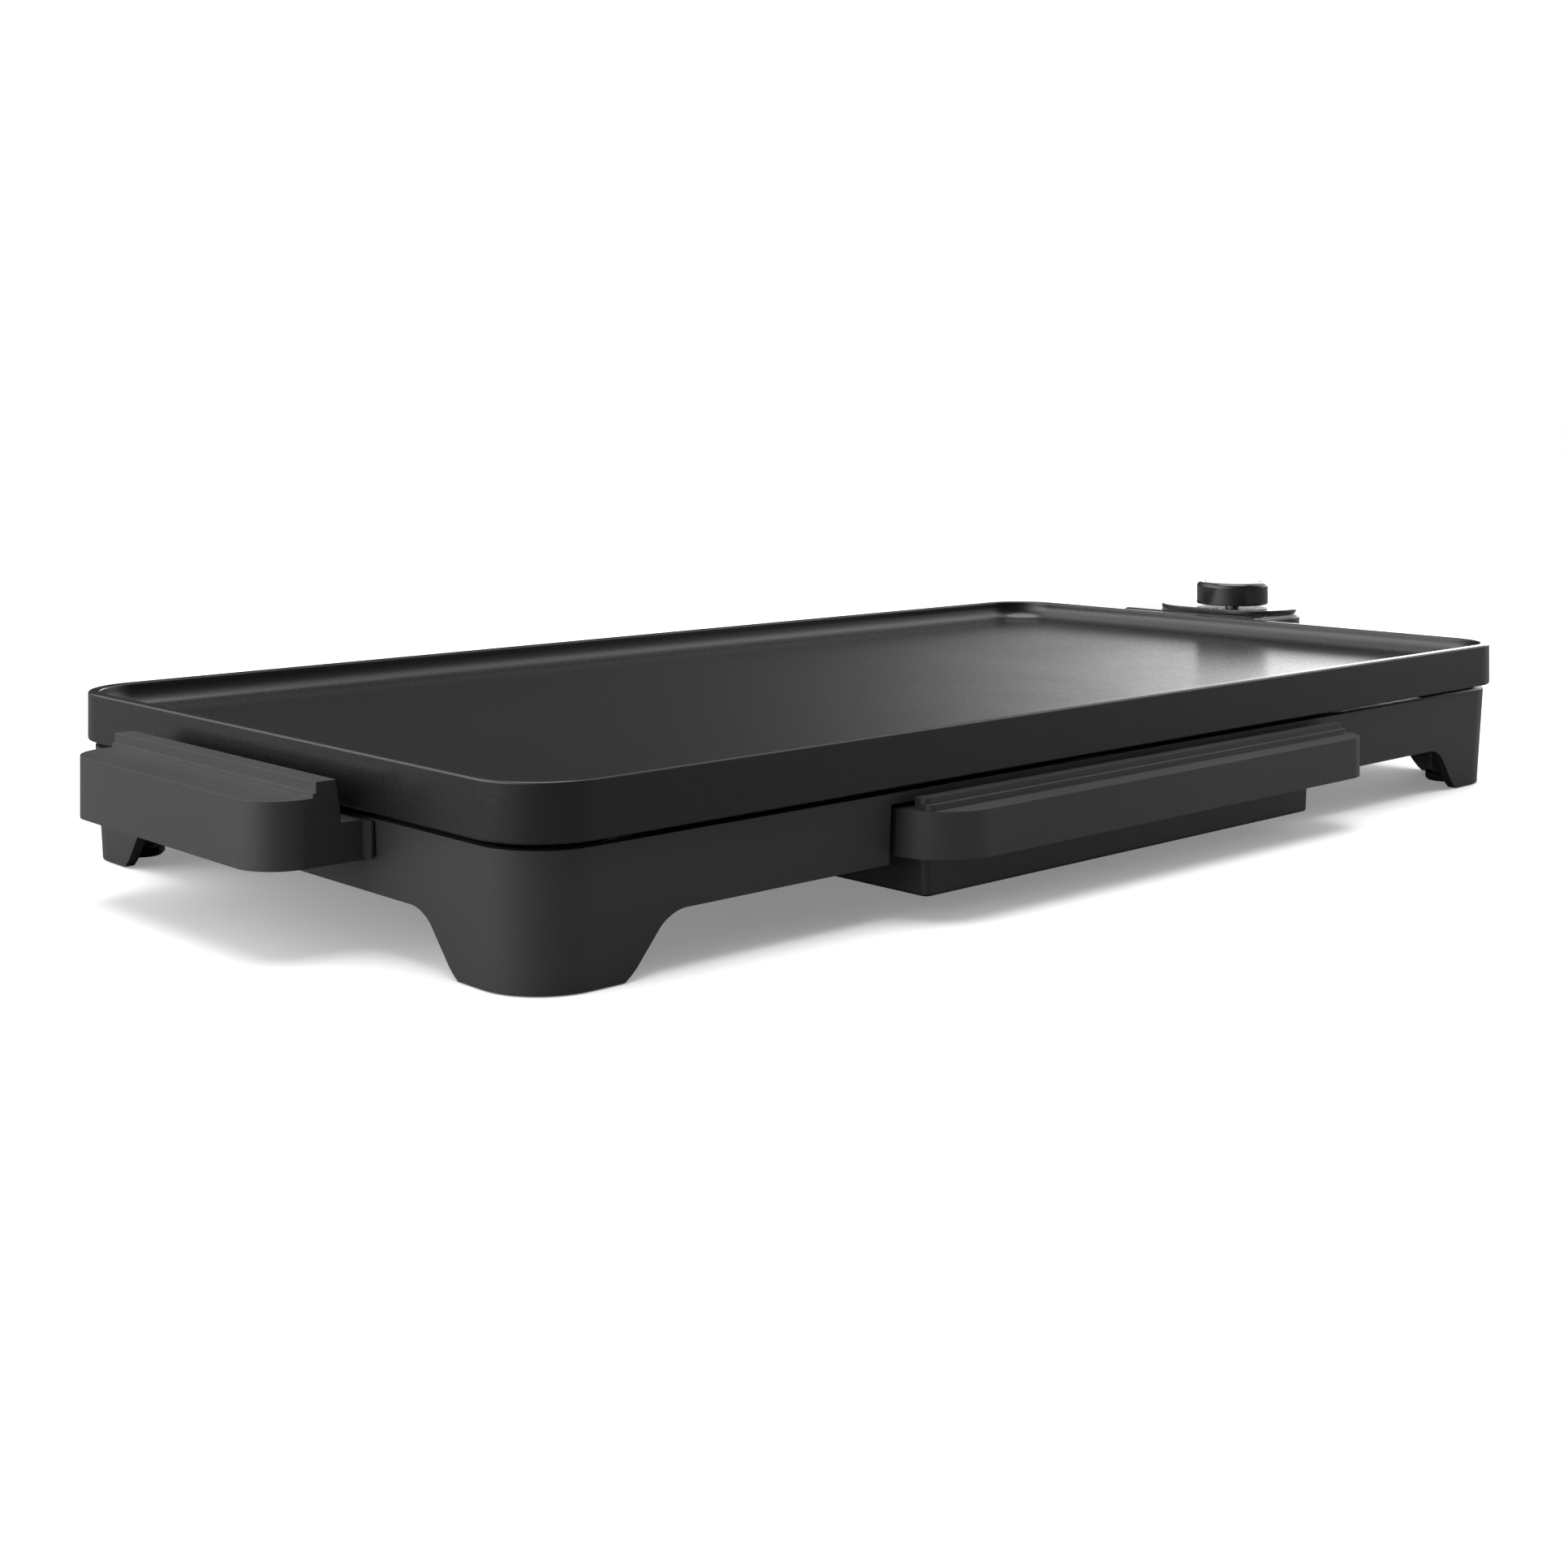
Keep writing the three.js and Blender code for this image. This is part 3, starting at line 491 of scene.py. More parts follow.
def edit_edges(piece, test):
    """Edit mode with only the edges selected whose two end points pass the test."""
    work_on(piece)
    mesh = piece.data
    for vertex in mesh.vertices:
        vertex.select = False
    for face in mesh.polygons:
        face.select = False
    for edge in mesh.edges:
        first, second = (mesh.vertices[i].co for i in edge.vertices)
        edge.select = bool(test(first, second))
    bpy.context.tool_settings.mesh_select_mode = (False, True, False)
    bpy.ops.object.mode_set(mode="EDIT")


def done():
    """Back to object mode."""
    bpy.ops.object.mode_set(mode="OBJECT")


def upright(first, second):
    """True for an edge that stands vertically."""
    return abs(first.x - second.x) < 1e-6 and abs(first.y - second.y) < 1e-6


def near(first, second):
    """True for two lengths that are equal but for rounding."""
    return abs(first - second) < 1e-5


def upright_at_x(x):
    """Test for the upright edges at one X."""
    return lambda a, b: upright(a, b) and near(a.x, x)


def all_round(height):
    """Test for the edges that run round a piece at one height."""
    return lambda a, b: near(a.z, height) and near(b.z, height)


def floor_patch(middle, height):
    """Test for the level face in the middle of a pan at one height. A face is found by its centre,
    so a rounded block needs the same number of segments at all its corners."""
    return lambda c, n: n.z > 0.99 and near(c.z, height) and (c.xy - middle.xy).length < 5 * MM



# %% Shaping steps
def round_edges(piece, test, radius, steps=4):
    """Bevels the chosen edges to a round of the given radius."""
    edit_edges(piece, test)
    bpy.ops.mesh.bevel(offset=radius, segments=steps, profile=0.5, affect="EDGES")
    done()


def scale_level(piece, height, x_factor, y_factor, centre):
    """Narrows or widens everything that lies at one height, for mould draft."""
    edit_faces(piece, lambda c, n: near(c.z, height))
    bpy.ops.transform.resize(value=(x_factor, y_factor, 1), center_override=centre)
    done()


def pull_faces(piece, test, move):
    """Extrudes the chosen faces by a vector."""
    edit_faces(piece, test)
    bpy.ops.mesh.extrude_region_move(TRANSFORM_OT_translate={"value": move})
    done()


def step_in(piece, test, thickness, depth=0.0):
    """Insets the chosen faces and sinks (or raises) them along their normal."""
    edit_faces(piece, test)
    bpy.ops.mesh.inset(thickness=thickness, depth=depth, use_even_offset=True)
    done()


def slice_at(piece, point, normal):
    """Cuts a line of edges round the piece without parting it."""
    work_on(piece)
    bpy.ops.object.mode_set(mode="EDIT")
    bpy.ops.mesh.select_all(action="SELECT")
    bpy.ops.mesh.bisect(plane_co=point, plane_no=normal)
    done()


def boolean(piece, tool, operation="DIFFERENCE"):
    """Cuts a tool out of a piece, or joins it on, then removes the tool."""
    work_on(piece)
    bpy.ops.object.modifier_add(type="BOOLEAN")
    modifier = piece.modifiers[-1]
    modifier.operation = operation
    modifier.solver = "EXACT"
    modifier.object = tool
    bpy.ops.object.modifier_apply(modifier=modifier.name)
    bpy.data.objects.remove(tool)


def clear_flats(piece):
    """Merges doubled points and takes out needless edges inside flat faces. Booleans leave both."""
    work_on(piece)
    bpy.ops.object.mode_set(mode="EDIT")
    bpy.ops.mesh.select_all(action="SELECT")
    bpy.ops.mesh.remove_doubles(threshold=0.02 * MM)
    bpy.ops.mesh.dissolve_limited(angle_limit=math.radians(0.5))
    done()


def soften(piece, radius, steps=2, angle=35):
    """Rounds all sharp edges a little and smooths the shading, as the last step of a piece."""
    work_on(piece)
    bpy.ops.object.modifier_add(type="BEVEL")
    modifier = piece.modifiers[-1]
    modifier.width = radius
    modifier.segments = steps
    modifier.limit_method = "ANGLE"
    modifier.angle_limit = math.radians(angle)
    modifier.harden_normals = False
    bpy.ops.object.modifier_apply(modifier=modifier.name)
    bpy.ops.object.shade_smooth_by_angle(angle=math.radians(40))
    bpy.ops.object.modifier_add(type="WEIGHTED_NORMAL")
    modifier = piece.modifiers[-1]
    modifier.keep_sharp = True
    bpy.ops.object.modifier_apply(modifier=modifier.name)


def finish_piece(piece, body, slot, *replaced):
    """Gives a piece its finish, its body and the CAD nodes it stands for."""
    piece.data.materials.clear()
    piece.data.materials.append(FINISHES[slot])
    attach(piece, body)
    if replaced:
        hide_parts(*replaced)
    size = [round(v / MM, 1) for v in piece.dimensions]
    print(f"{piece.name}: {len(piece.data.polygons)} faces, {size} mm")


# %% [markdown]
# ## Floor
# The floor is a large pale sheet. A perfectly flat colour looks like a void, so it keeps a trace
# of paper tooth. The camera sees it pale and glowing a little, while all other rays meet a dark
# sheet, which keeps its light off the lower faces.

# %% Floor
FLOOR_GLOW = (0.23, 0.23, 0.23)
FLOOR_SEEN = (0.90, 0.90, 0.90)
FLOOR_UNSEEN = (0.15, 0.15, 0.15)


def pale_floor():
    """Adds the studio floor."""
    bpy.ops.mesh.primitive_plane_add(size=12, location=(0, 0, 0))
    floor = named("studio_floor")
    paper = Finish("studio_paper", IOR=1.4, Emission_Strength=1.0)
    tooth = paper.noise(2 * MM)
    seen = paper.node("ShaderNodeLightPath", output="Is Camera Ray")
    paper.colour(FLOOR_UNSEEN, FLOOR_SEEN, seen * (0.97 + tooth * 0.06))
    glow = paper.node("ShaderNodeMix", {"data_type": "RGBA"},
                      {"Factor": seen, 6: (0, 0, 0, 1), 7: (*FLOOR_GLOW, 1)}, 2)
    paper.feed("Emission Color", glow)
    paper.feed("Roughness", 0.85 + tooth * 0.1)
    floor.data.materials.append(paper.material)
    return floor


floor = pale_floor()
print(f"{floor.name}: {floor.dimensions.x:.0f} m wide")

# %% [markdown]
# ## Cooking plate
# The plate is a shallow casting: a vertical outer wall with generous corners, a thin flat rim, and
# an inner wall that runs into the floor through a round cove, so that food scrapes out easily. It
# could be a revolved profile, but a rounded block whose top face is inset again and again follows
# the straight sides and corners in one go.

# %% Cooking plate
PLATE_CORNER = 22.4 * MM
RIM_WIDTH = 3.6 * MM
PAN_DEPTH = 8.1 * MM
COVE = 6.0 * MM
COVE_STEPS = 8
UNDERSIDE_STEPS = ((4.0 * MM, 0.0), (3.0 * MM, -3.5 * MM))
DRAIN_FROM_FRONT = 20 * MM
DRAIN_HALF = (13 * MM, 4 * MM)
DRAIN_LEVELS = (30 * MM, 60 * MM)
DRAIN_CORNER = 3.9 * MM


def cooking_plate():
    """Rimmed plate with a coved pan, a hollow underside and a drain hole."""
    plate = block("cooking_plate", plate_low, plate_high)
    round_edges(plate, upright, PLATE_CORNER, 14)
    height = plate_high.z
    step_in(plate, floor_patch(plate_middle, height), RIM_WIDTH)
    pull_faces(plate, floor_patch(plate_middle, height), (0, 0, COVE - PAN_DEPTH))
    height += COVE - PAN_DEPTH
    across = down = 0.0
    for step in range(1, COVE_STEPS + 1):
        turn = math.radians(90) * step / COVE_STEPS
        next_across = COVE * (1 - math.cos(turn))
        next_down = COVE * math.sin(turn)
        step_in(plate, floor_patch(plate_middle, height), next_across - across, down - next_down)
        height -= next_down - down
        across, down = next_across, next_down
    underneath = lambda c, n: n.z < -0.99 and (c.xy - plate_middle.xy).length < 5 * MM
    for thickness, depth in UNDERSIDE_STEPS:
        step_in(plate, underneath, thickness, depth)
    boolean(plate, drain_tool())
    soften(plate, 0.7 * MM, 3, 50)
    finish_piece(plate, "base", "coated_black", "griddle_plate")


def drain_tool():
    """Round-ended bar that cuts the drain hole near the front of the pan."""
    middle = Vector((plate_middle.x, plate_low.y + DRAIN_FROM_FRONT, 0))
    half = Vector((*DRAIN_HALF, 0))
    bottom, top = (Vector((0, 0, level)) for level in DRAIN_LEVELS)
    tool = block("drain_tool", middle - half + bottom, middle + half + top)
    round_edges(tool, upright, DRAIN_CORNER, 8)
    return tool


cooking_plate()

# %% [markdown]
# ## Base
# The base is one deep plastic moulding: a skirt with drafted walls and hollow legs, and a level deck
# inside that carries the plate posts. Modelling the inside face by face would be slow. It is made
# as a toolmaker would: a full block first, then the rooms, arches and slots are cut out of it.

# %% Points from the plate's middle
def at(x, y, z):
    """Point given in millimetres from the plate's middle and from the table top."""
    return Vector((plate_middle.x + x * MM, plate_middle.y + y * MM, z * MM))


def chunk(name, xs, ys, zs):
    """Block between two limits along each axis, in millimetres as in at()."""
    return block(name, at(min(xs), min(ys), min(zs)), at(max(xs), max(ys), max(zs)))


def middle_of(name):
    """Middle of a CAD node's box in millimetres as in at()."""
    low, high = (Vector(corner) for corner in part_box(name))
    point = (low + high) / 2
    return (point.x - plate_middle.x) / MM, (point.y - plate_middle.y) / MM, point.z / MM


def drafted_block(name, low, high, corner, draft, steps=12):
    """Block with rounded upright corners, narrower towards its bottom by the mould draft."""
    piece = block(name, low, high)
    round_edges(piece, upright, corner, steps)
    middle = (low + high) / 2
    shrink = 2 * draft * (high.z - low.z)
    scale_level(piece, low.z, 1 - shrink / (high.x - low.x), 1 - shrink / (high.y - low.y), middle)
    return piece


print("plate's middle at", [round(v, 4) for v in plate_middle.xy])


# %% [markdown]
# The arch between two feet is a long bar with sloping flanks. Its upper edges are rounded, and its
# lower part flares, which leaves the toes of the feet softly rounded.

# %% Arch cutters
ARCH_TOP = 17.0
ARCH_SINK = -8.0
TOE_LEVEL = 2.2
TOE_TO_END = 36.2
FLANK_SLOPE = 0.8
TOE_SLOPE = 1.47
ARCH_CORNER = 5.5 * MM
TOE_CORNER = 2.4 * MM
FAR = 400


def arch_tool(along):
    """Cutter for the openings between the feet, running along X or Y right through the base."""
    half = (PLATE_LENGTH if along == "Y" else PLATE_DEPTH) / MM / 2
    end_at = lambda z: half - TOE_TO_END - FLANK_SLOPE * z
    low_half = end_at(ARCH_SINK)
    across = (-low_half, low_half)
    runs = (-FAR, FAR)
    xs, ys = (across, runs) if along == "Y" else (runs, across)
    tool = chunk("arch_" + along, xs, ys, (ARCH_SINK, ARCH_TOP))
    squeeze = lambda factor: (factor, 1) if along == "Y" else (1, factor)
    scale_level(tool, ARCH_TOP * MM, *squeeze(end_at(ARCH_TOP) / low_half), plate_middle)
    slice_at(tool, at(0, 0, TOE_LEVEL), (0, 0, 1))
    flare = end_at(TOE_LEVEL) + TOE_SLOPE * (TOE_LEVEL - ARCH_SINK)
    scale_level(tool, ARCH_SINK * MM, *squeeze(flare / low_half), plate_middle)
    axis = 0 if along == "X" else 1
    lengthwise = lambda a, b: abs(a[axis] - b[axis]) > 0.5
    level_edge = lambda z: lambda a, b: lengthwise(a, b) and near(a.z, z * MM)
    round_edges(tool, level_edge(ARCH_TOP), ARCH_CORNER, 6)
    round_edges(tool, level_edge(TOE_LEVEL), TOE_CORNER, 4)
    return tool


print(f"arches: {ARCH_TOP} mm high")


# %% Base moulding
base_low, base_high = (Vector(corner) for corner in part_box("base_shell"))
BASE_CORNER = 20.2 * MM
BASE_WALL = 3.4 * MM
BASE_DRAFT = 0.05
DECK = (17.4, 19.8)
TRAY_OPENING = ((-112, 112), (-150, 15), (-5, 34.6))
SHROUD_NOTCH = ((230, 250), (-20, 20), (28.3, 60))
VENTS = (-205, -195, -160, -150, 140, 150, 190, 200)
VENT_SIZE = ((-2.5, 2.5), (-45, 45), (10, 25))
VENT_CORNER = 2.4 * MM
BOSS_RADIUS = 5 * MM
BOSS_BOTTOM = 3.5
BOSS_HEIGHT = 14.2 * MM
RIB_REACH = 12.8
RIB_HALF = 0.8
RIB_LEVELS = (7, 17.6)


def room(name, bottom, top):
    """Inside of the skirt between two heights, parallel to its drafted outer face."""
    inset = BASE_WALL + BASE_DRAFT * (base_high.z - top * MM)
    low = Vector((base_low.x + inset, base_low.y + inset, bottom * MM))
    high = Vector((base_high.x - inset, base_high.y - inset, top * MM))
    return drafted_block(name, low, high, BASE_CORNER - BASE_WALL, BASE_DRAFT)


def vent_slot(x):
    """Round-ended slot through the deck."""
    xs, ys, zs = VENT_SIZE
    slot = chunk("vent_slot", (x + xs[0], x + xs[1]), ys, zs)
    round_edges(slot, upright, VENT_CORNER, 4)
    return slot


def base_bores():
    """Cutters for the screw holes in the deck and in the side walls."""
    tools = []
    for name in nodes:
        x, y, z = middle_of(name)
        if name.startswith("plate_screw"):
            tools.append(screw_bore(at(x, y, 10), 15 * MM))
        if name.startswith("handle_") and "screw" in name:
            tools.append(screw_bore(at(x - 12, y, z), 24 * MM, "X"))
    return tools


def foot_boss(name):
    """Pillar over a rubber foot with two thin ribs that stiffen it against the skirt."""
    x, y, _ = middle_of(name)
    outward_x = 1 if x > 0 else -1
    outward_y = 1 if y > 0 else -1
    pillar = rod("boss", BOSS_RADIUS, at(x, y, BOSS_BOTTOM), BOSS_HEIGHT)
    run_x = (x, x + outward_x * RIB_REACH)
    run_y = (y, y + outward_y * RIB_REACH)
    boolean(pillar, chunk("rib", run_x, (y - RIB_HALF, y + RIB_HALF), RIB_LEVELS), "UNION")
    boolean(pillar, chunk("rib", (x - RIB_HALF, x + RIB_HALF), run_y, RIB_LEVELS), "UNION")
    return pillar


def base_moulding():
    """Skirt, deck and legs in one piece."""
    base = drafted_block("base_moulding", base_low, base_high, BASE_CORNER, BASE_DRAFT)
    boolean(base, room("lower_room", -5, DECK[0]))
    boolean(base, room("upper_room", DECK[1], 45))
    boolean(base, arch_tool("Y"))
    boolean(base, arch_tool("X"))
    boolean(base, chunk("tray_opening", *TRAY_OPENING))
    shroud_y = middle_of("terminal_shroud")[1]
    xs, ys, zs = SHROUD_NOTCH
    boolean(base, chunk("shroud_notch", xs, (shroud_y + ys[0], shroud_y + ys[1]), zs))
    for tool in [vent_slot(x) for x in VENTS] + base_bores():
        boolean(base, tool)
    for name in nodes:
        if name.startswith("foot_pad"):
            boolean(base, foot_boss(name), "UNION")
    soften(base, 0.5 * MM, 2, 30)
    finish_piece(base, "base", "moulded_black", "base_shell")


base_moulding()

# %% [markdown]
# ## Carrying handles
# Each handle is a thick lip screwed to the side of the base. It has large outer corners, a ridge of
# two steps along its inner edge that keeps fingers off the hot plate, and a lower, level shelf that
# runs back to the base wall, where a thin flange stands at each end. The ridge is drawn up out of
# the top face: two cuts mark the strips, and each strip is extruded. The lip's inner face leans away
# from the plate. The handle is hollow underneath, as thick plastic would sink.

# %% Handle shapes
HANDLE_BOTTOM = 26.2
HANDLE_TOP = 45.0
HANDLE_INNER = 6
HANDLE_OUTER = 30
HANDLE_CORNER = 13.5
SHELF_TOP = 37.3
RIDGE_REACH = (14.6, 13.7)
RIDGE_RISE = (1.2, 3.1)
LEAN_LEVELS = (39, 60)
LEAN_REACH = (5.9, 9.5)
ROOT = -1.9
FLANGE = (-1.0, 4, 27)
HALF_LENGTH = PLATE_LENGTH / MM / 2
HOLLOW_LEVELS = (20, 42)
HANDLE_SOFT = 0.9 * MM


def beside(side, reach):
    """X in millimetres, as in at(), of a place beyond the plate's left (-1) or right (1) end."""
    return side * (HALF_LENGTH + reach)


def handle_lip(name, side, middle, half):
    """Outer part of a handle with rounded corners and its stepped ridge; side is -1 or 1."""
    lip = chunk(name, (beside(side, HANDLE_INNER), beside(side, HANDLE_OUTER)),
                (middle - half, middle + half), (HANDLE_BOTTOM, HANDLE_TOP))
    round_edges(lip, upright_at_x(at(beside(side, HANDLE_OUTER), 0, 0).x), HANDLE_CORNER * MM, 12)
    for reach in RIDGE_REACH:
        slice_at(lip, at(beside(side, reach), 0, 0), (1, 0, 0))
    level = HANDLE_TOP
    for reach, rise in zip(RIDGE_REACH, RIDGE_RISE):
        limit = at(beside(side, reach), 0, 0).x
        strip = lambda c, n: n.z > 0.99 and near(c.z, level * MM) and side * (c.x - limit) < 0
        pull_faces(lip, strip, (0, 0, rise * MM))
        level += rise
    boolean(lip, lean_tool(side, middle, half + 5))
    return lip


def lean_tool(side, middle, half):
    """Cutter with one sloping side, which leans the inner face of a lip away from the plate."""
    low_reach, high_reach = LEAN_REACH
    tool = chunk("lean", (beside(side, -10), beside(side, low_reach)),
                 (middle - half, middle + half), LEAN_LEVELS)
    outer_x = at(beside(side, low_reach), 0, 0).x
    top_outer = lambda v: near(v.x, outer_x) and near(v.z, LEAN_LEVELS[1] * MM)
    edit_edges(tool, lambda a, b: top_outer(a) and top_outer(b))
    bpy.ops.transform.translate(value=(side * (high_reach - low_reach) * MM, 0, 0))
    done()
    return tool


def handle_shelf(side, middle, half):
    """Low part between lip and base wall, with a thin flange along the wall at each end."""
    root = beside(side, ROOT)
    shelf = chunk("shelf", (root, beside(side, HANDLE_INNER + 1)), (middle - half, middle + half),
                  (HANDLE_BOTTOM, SHELF_TOP))
    reach, width, bottom = FLANGE
    for way in (-1, 1):
        edge = middle + way * half
        flange = chunk("flange", (root, beside(side, reach)), (edge - way, edge + way * width),
                       (bottom, SHELF_TOP))
        boolean(shelf, flange, "UNION")
    return shelf


def handle_bores(side, which):
    """Cutters for the screw holes of one handle."""
    tools = []
    for name in nodes:
        if name.startswith(f"handle_{which}_screw"):
            _, y, z = middle_of(name)
            start = HALF_LENGTH - 4 if side > 0 else -HALF_LENGTH - 5
            tools.append(screw_bore(at(start, y, z), 9 * MM, "X"))
    return tools


def finish_handle(handle, side, which):
    """Last steps of a handle: its screw holes, softened edges and finish."""
    for tool in handle_bores(side, which):
        boolean(handle, tool)
    clear_flats(handle)
    soften(handle, HANDLE_SOFT, 3, 30)
    finish_piece(handle, "base", "moulded_black", f"handle_{which}")


print(f"handles: {HANDLE_OUTER} mm out, ridge {HANDLE_TOP + sum(RIDGE_RISE):.1f} mm above the table")


# %% Left handle
LEFT_HALF = 59.4
LEFT_MIDDLE = middle_of("handle_left")[1]
LEFT_HOLLOW_HALF = 56
LEFT_HOLLOW_REACH = (27, 8)
LEFT_HOLLOW_CORNER = 10 * MM


def left_handle():
    """Handle on the side away from the thermostat."""
    handle = handle_lip("carrying_handle_left", -1, LEFT_MIDDLE, LEFT_HALF)
    boolean(handle, handle_shelf(-1, LEFT_MIDDLE, LEFT_HALF), "UNION")
    outer, inner = (beside(-1, reach) for reach in LEFT_HOLLOW_REACH)
    hollow = chunk("hollow", (outer, inner),
                   (LEFT_MIDDLE - LEFT_HOLLOW_HALF, LEFT_MIDDLE + LEFT_HOLLOW_HALF), HOLLOW_LEVELS)
    round_edges(hollow, upright_at_x(at(outer, 0, 0).x), LEFT_HOLLOW_CORNER, 8)
    boolean(handle, hollow)
    finish_handle(handle, -1, "left")


left_handle()

# %% [markdown]
# The right handle is the same lip, made longer, with an open bay in which the thermostat stands on
# a thin floor.

# %% Right handle
BAY_HALF = 39.7
BAY_FLOOR = 28.5
BAY_REACH = (-4, 32)
RIGHT_HALF = 67.0
RIGHT_HOLLOW_REACH = (10, 22)
END_WALL = 4
BAY_WALL = 3
right_low, right_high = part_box("handle_right")
RIGHT_MIDDLE = ((right_low[1] + right_high[1]) / 2 - plate_middle.y) / MM


def right_handle():
    """Handle with the bay for the thermostat."""
    bay = (RIGHT_MIDDLE - BAY_HALF, RIGHT_MIDDLE + BAY_HALF)
    handle = handle_lip("carrying_handle_right", 1, RIGHT_MIDDLE, RIGHT_HALF)
    boolean(handle, handle_shelf(1, RIGHT_MIDDLE, RIGHT_HALF), "UNION")
    boolean(handle, chunk("bay", [beside(1, reach) for reach in BAY_REACH], bay, (BAY_FLOOR, 60)))
    front_end = (RIGHT_MIDDLE - RIGHT_HALF + END_WALL, bay[0] - BAY_WALL)
    back_end = (bay[1] + BAY_WALL, RIGHT_MIDDLE + RIGHT_HALF - END_WALL)
    hollow_xs = [beside(1, reach) for reach in RIGHT_HOLLOW_REACH]
    for ys in (front_end, back_end):
        boolean(handle, chunk("hollow", hollow_xs, ys, HOLLOW_LEVELS))
    finish_handle(handle, 1, "right")


right_handle()

# %% [markdown]
# ## Drip tray
# The tray is a thin open box with a lip on each side that hangs on two runners. It is made from one
# block: the top face is inset by the wall's thickness and pushed down, and the bottom is narrowed
# for draft, inside and outside alike. All four corners get the same number of segments, or the top
# face's centre would shift and the face would no longer be found.

# %% Drip tray
TRAY_HALF = 101.4
TRAY_FRONT = -130
TRAY_BACK = 10
TRAY_BOTTOM = 6
TRAY_TOP = 30
TRAY_WALL = 1.8
TRAY_DRAFT = 1.6
TRAY_CORNER_BACK = 5 * MM
TRAY_CORNER_FRONT = 2.4 * MM
TRAY_CORNER_STEPS = 8
TRAY_FLOOR_ROUND = 2.5 * MM
TRAY_SOLE_ROUND = 1.0 * MM
TRAY_LIP = ((100.8, 108.4), (-118, 6), (28.4, TRAY_TOP))


def narrow_tray(tray, height):
    """Draws one level of the tray in at its sides and back; the front stays upright."""
    depth = TRAY_BACK - TRAY_FRONT
    front_middle = at(0, TRAY_FRONT, 0)
    scale_level(tray, height * MM, 1 - TRAY_DRAFT / TRAY_HALF, 1 - TRAY_DRAFT / depth, front_middle)


def tray_moulding():
    """Open box with side lips, rounded at every edge."""
    tray = chunk("drip_tray_moulding", (-TRAY_HALF, TRAY_HALF), (TRAY_FRONT, TRAY_BACK),
                 (TRAY_BOTTOM, TRAY_TOP))
    front_y = at(0, TRAY_FRONT, 0).y
    at_back = lambda a, b: upright(a, b) and a.y > front_y + MM
    at_front = lambda a, b: upright(a, b) and a.y < front_y + 1e-5
    round_edges(tray, at_back, TRAY_CORNER_BACK, TRAY_CORNER_STEPS)
    round_edges(tray, at_front, TRAY_CORNER_FRONT, TRAY_CORNER_STEPS)
    narrow_tray(tray, TRAY_BOTTOM)
    middle = at(0, (TRAY_FRONT + TRAY_BACK) / 2, 0)
    step_in(tray, floor_patch(middle, TRAY_TOP * MM), TRAY_WALL * MM)
    floor_level = TRAY_BOTTOM + TRAY_WALL
    pull_faces(tray, floor_patch(middle, TRAY_TOP * MM), (0, 0, (floor_level - TRAY_TOP) * MM))
    narrow_tray(tray, floor_level)
    round_edges(tray, all_round(floor_level * MM), TRAY_FLOOR_ROUND, 4)
    round_edges(tray, all_round(TRAY_BOTTOM * MM), TRAY_SOLE_ROUND, 3)
    xs, ys, zs = TRAY_LIP
    for side in (-1, 1):
        boolean(tray, chunk("lip", (side * xs[0], side * xs[1]), ys, zs), "UNION")
    for name in nodes:
        if name.startswith("tray_grip_screw"):
            x, _, z = middle_of(name)
            boolean(tray, screw_bore(at(x, TRAY_FRONT - 5, z), 10 * MM, "Y"))
    soften(tray, 0.4 * MM, 2, 30)
    finish_piece(tray, "drip_tray", "moulded_black", "drip_tray")


tray_moulding()

# %% [markdown]
# The tray's pull repeats the form of the handles: a rounded bar with a ridge of two steps along its
# inner edge, so that the two read as one family. Its right end reaches past the tray's opening, so
# it is relieved at the back there to clear the base wall.

# %% Tray pull
PULL_ENDS = (-109, 117)
PULL_CORNERS = (20, 12)
PULL_FRONT = -145.5
PULL_BACK = -124
PULL_BOTTOM = 19
PULL_TOP = 33
PULL_RIDGE = (-137.4, -135.4)
PULL_RIDGE_BACK = -131.2
PULL_RIDGE_ENDS = (-106, 114)
PULL_STEP = 1.8
RIDGE_CORNER = 2.5 * MM
SEAT_HALF = 102.2
SEAT_GAP = 0.3
RELIEF = ((111.4, 125), -128.3)
CUT_LEVELS = (10, 50)


def tray_pull():
    """Rounded bar with a stepped ridge and a seat for the tray's front wall."""
    pull = chunk("tray_pull", PULL_ENDS, (PULL_FRONT, PULL_BACK), (PULL_BOTTOM, PULL_TOP))
    front_y = at(0, PULL_FRONT, 0).y
    for end, corner in zip(PULL_ENDS, PULL_CORNERS):
        end_x = at(end, 0, 0).x
        here = lambda v: near(v.y, front_y) and near(v.x, end_x)
        round_edges(pull, lambda a, b: upright(a, b) and here(a), corner * MM, 14)
    for number, front in enumerate(PULL_RIDGE):
        top = PULL_TOP + (number + 1) * PULL_STEP
        strip = chunk("ridge", PULL_RIDGE_ENDS, (front, PULL_RIDGE_BACK), (PULL_TOP - 1, top))
        strip_y = at(0, front, 0).y
        round_edges(strip, lambda a, b: upright(a, b) and near(a.y, strip_y), RIDGE_CORNER, 6)
        boolean(pull, strip, "UNION")
    behind = PULL_BACK + 5
    boolean(pull, chunk("seat", (-SEAT_HALF, SEAT_HALF), (TRAY_FRONT - SEAT_GAP, behind), CUT_LEVELS))
    relief_xs, relief_front = RELIEF
    boolean(pull, chunk("relief", relief_xs, (relief_front, behind), CUT_LEVELS))
    for name in nodes:
        if name.startswith("tray_grip_screw"):
            x, _, z = middle_of(name)
            boolean(pull, screw_bore(at(x, TRAY_FRONT - 10, z), 12 * MM, "Y"))
    soften(pull, 0.8 * MM, 3, 30)
    finish_piece(pull, "drip_tray", "moulded_black", "tray_grip")


tray_pull()

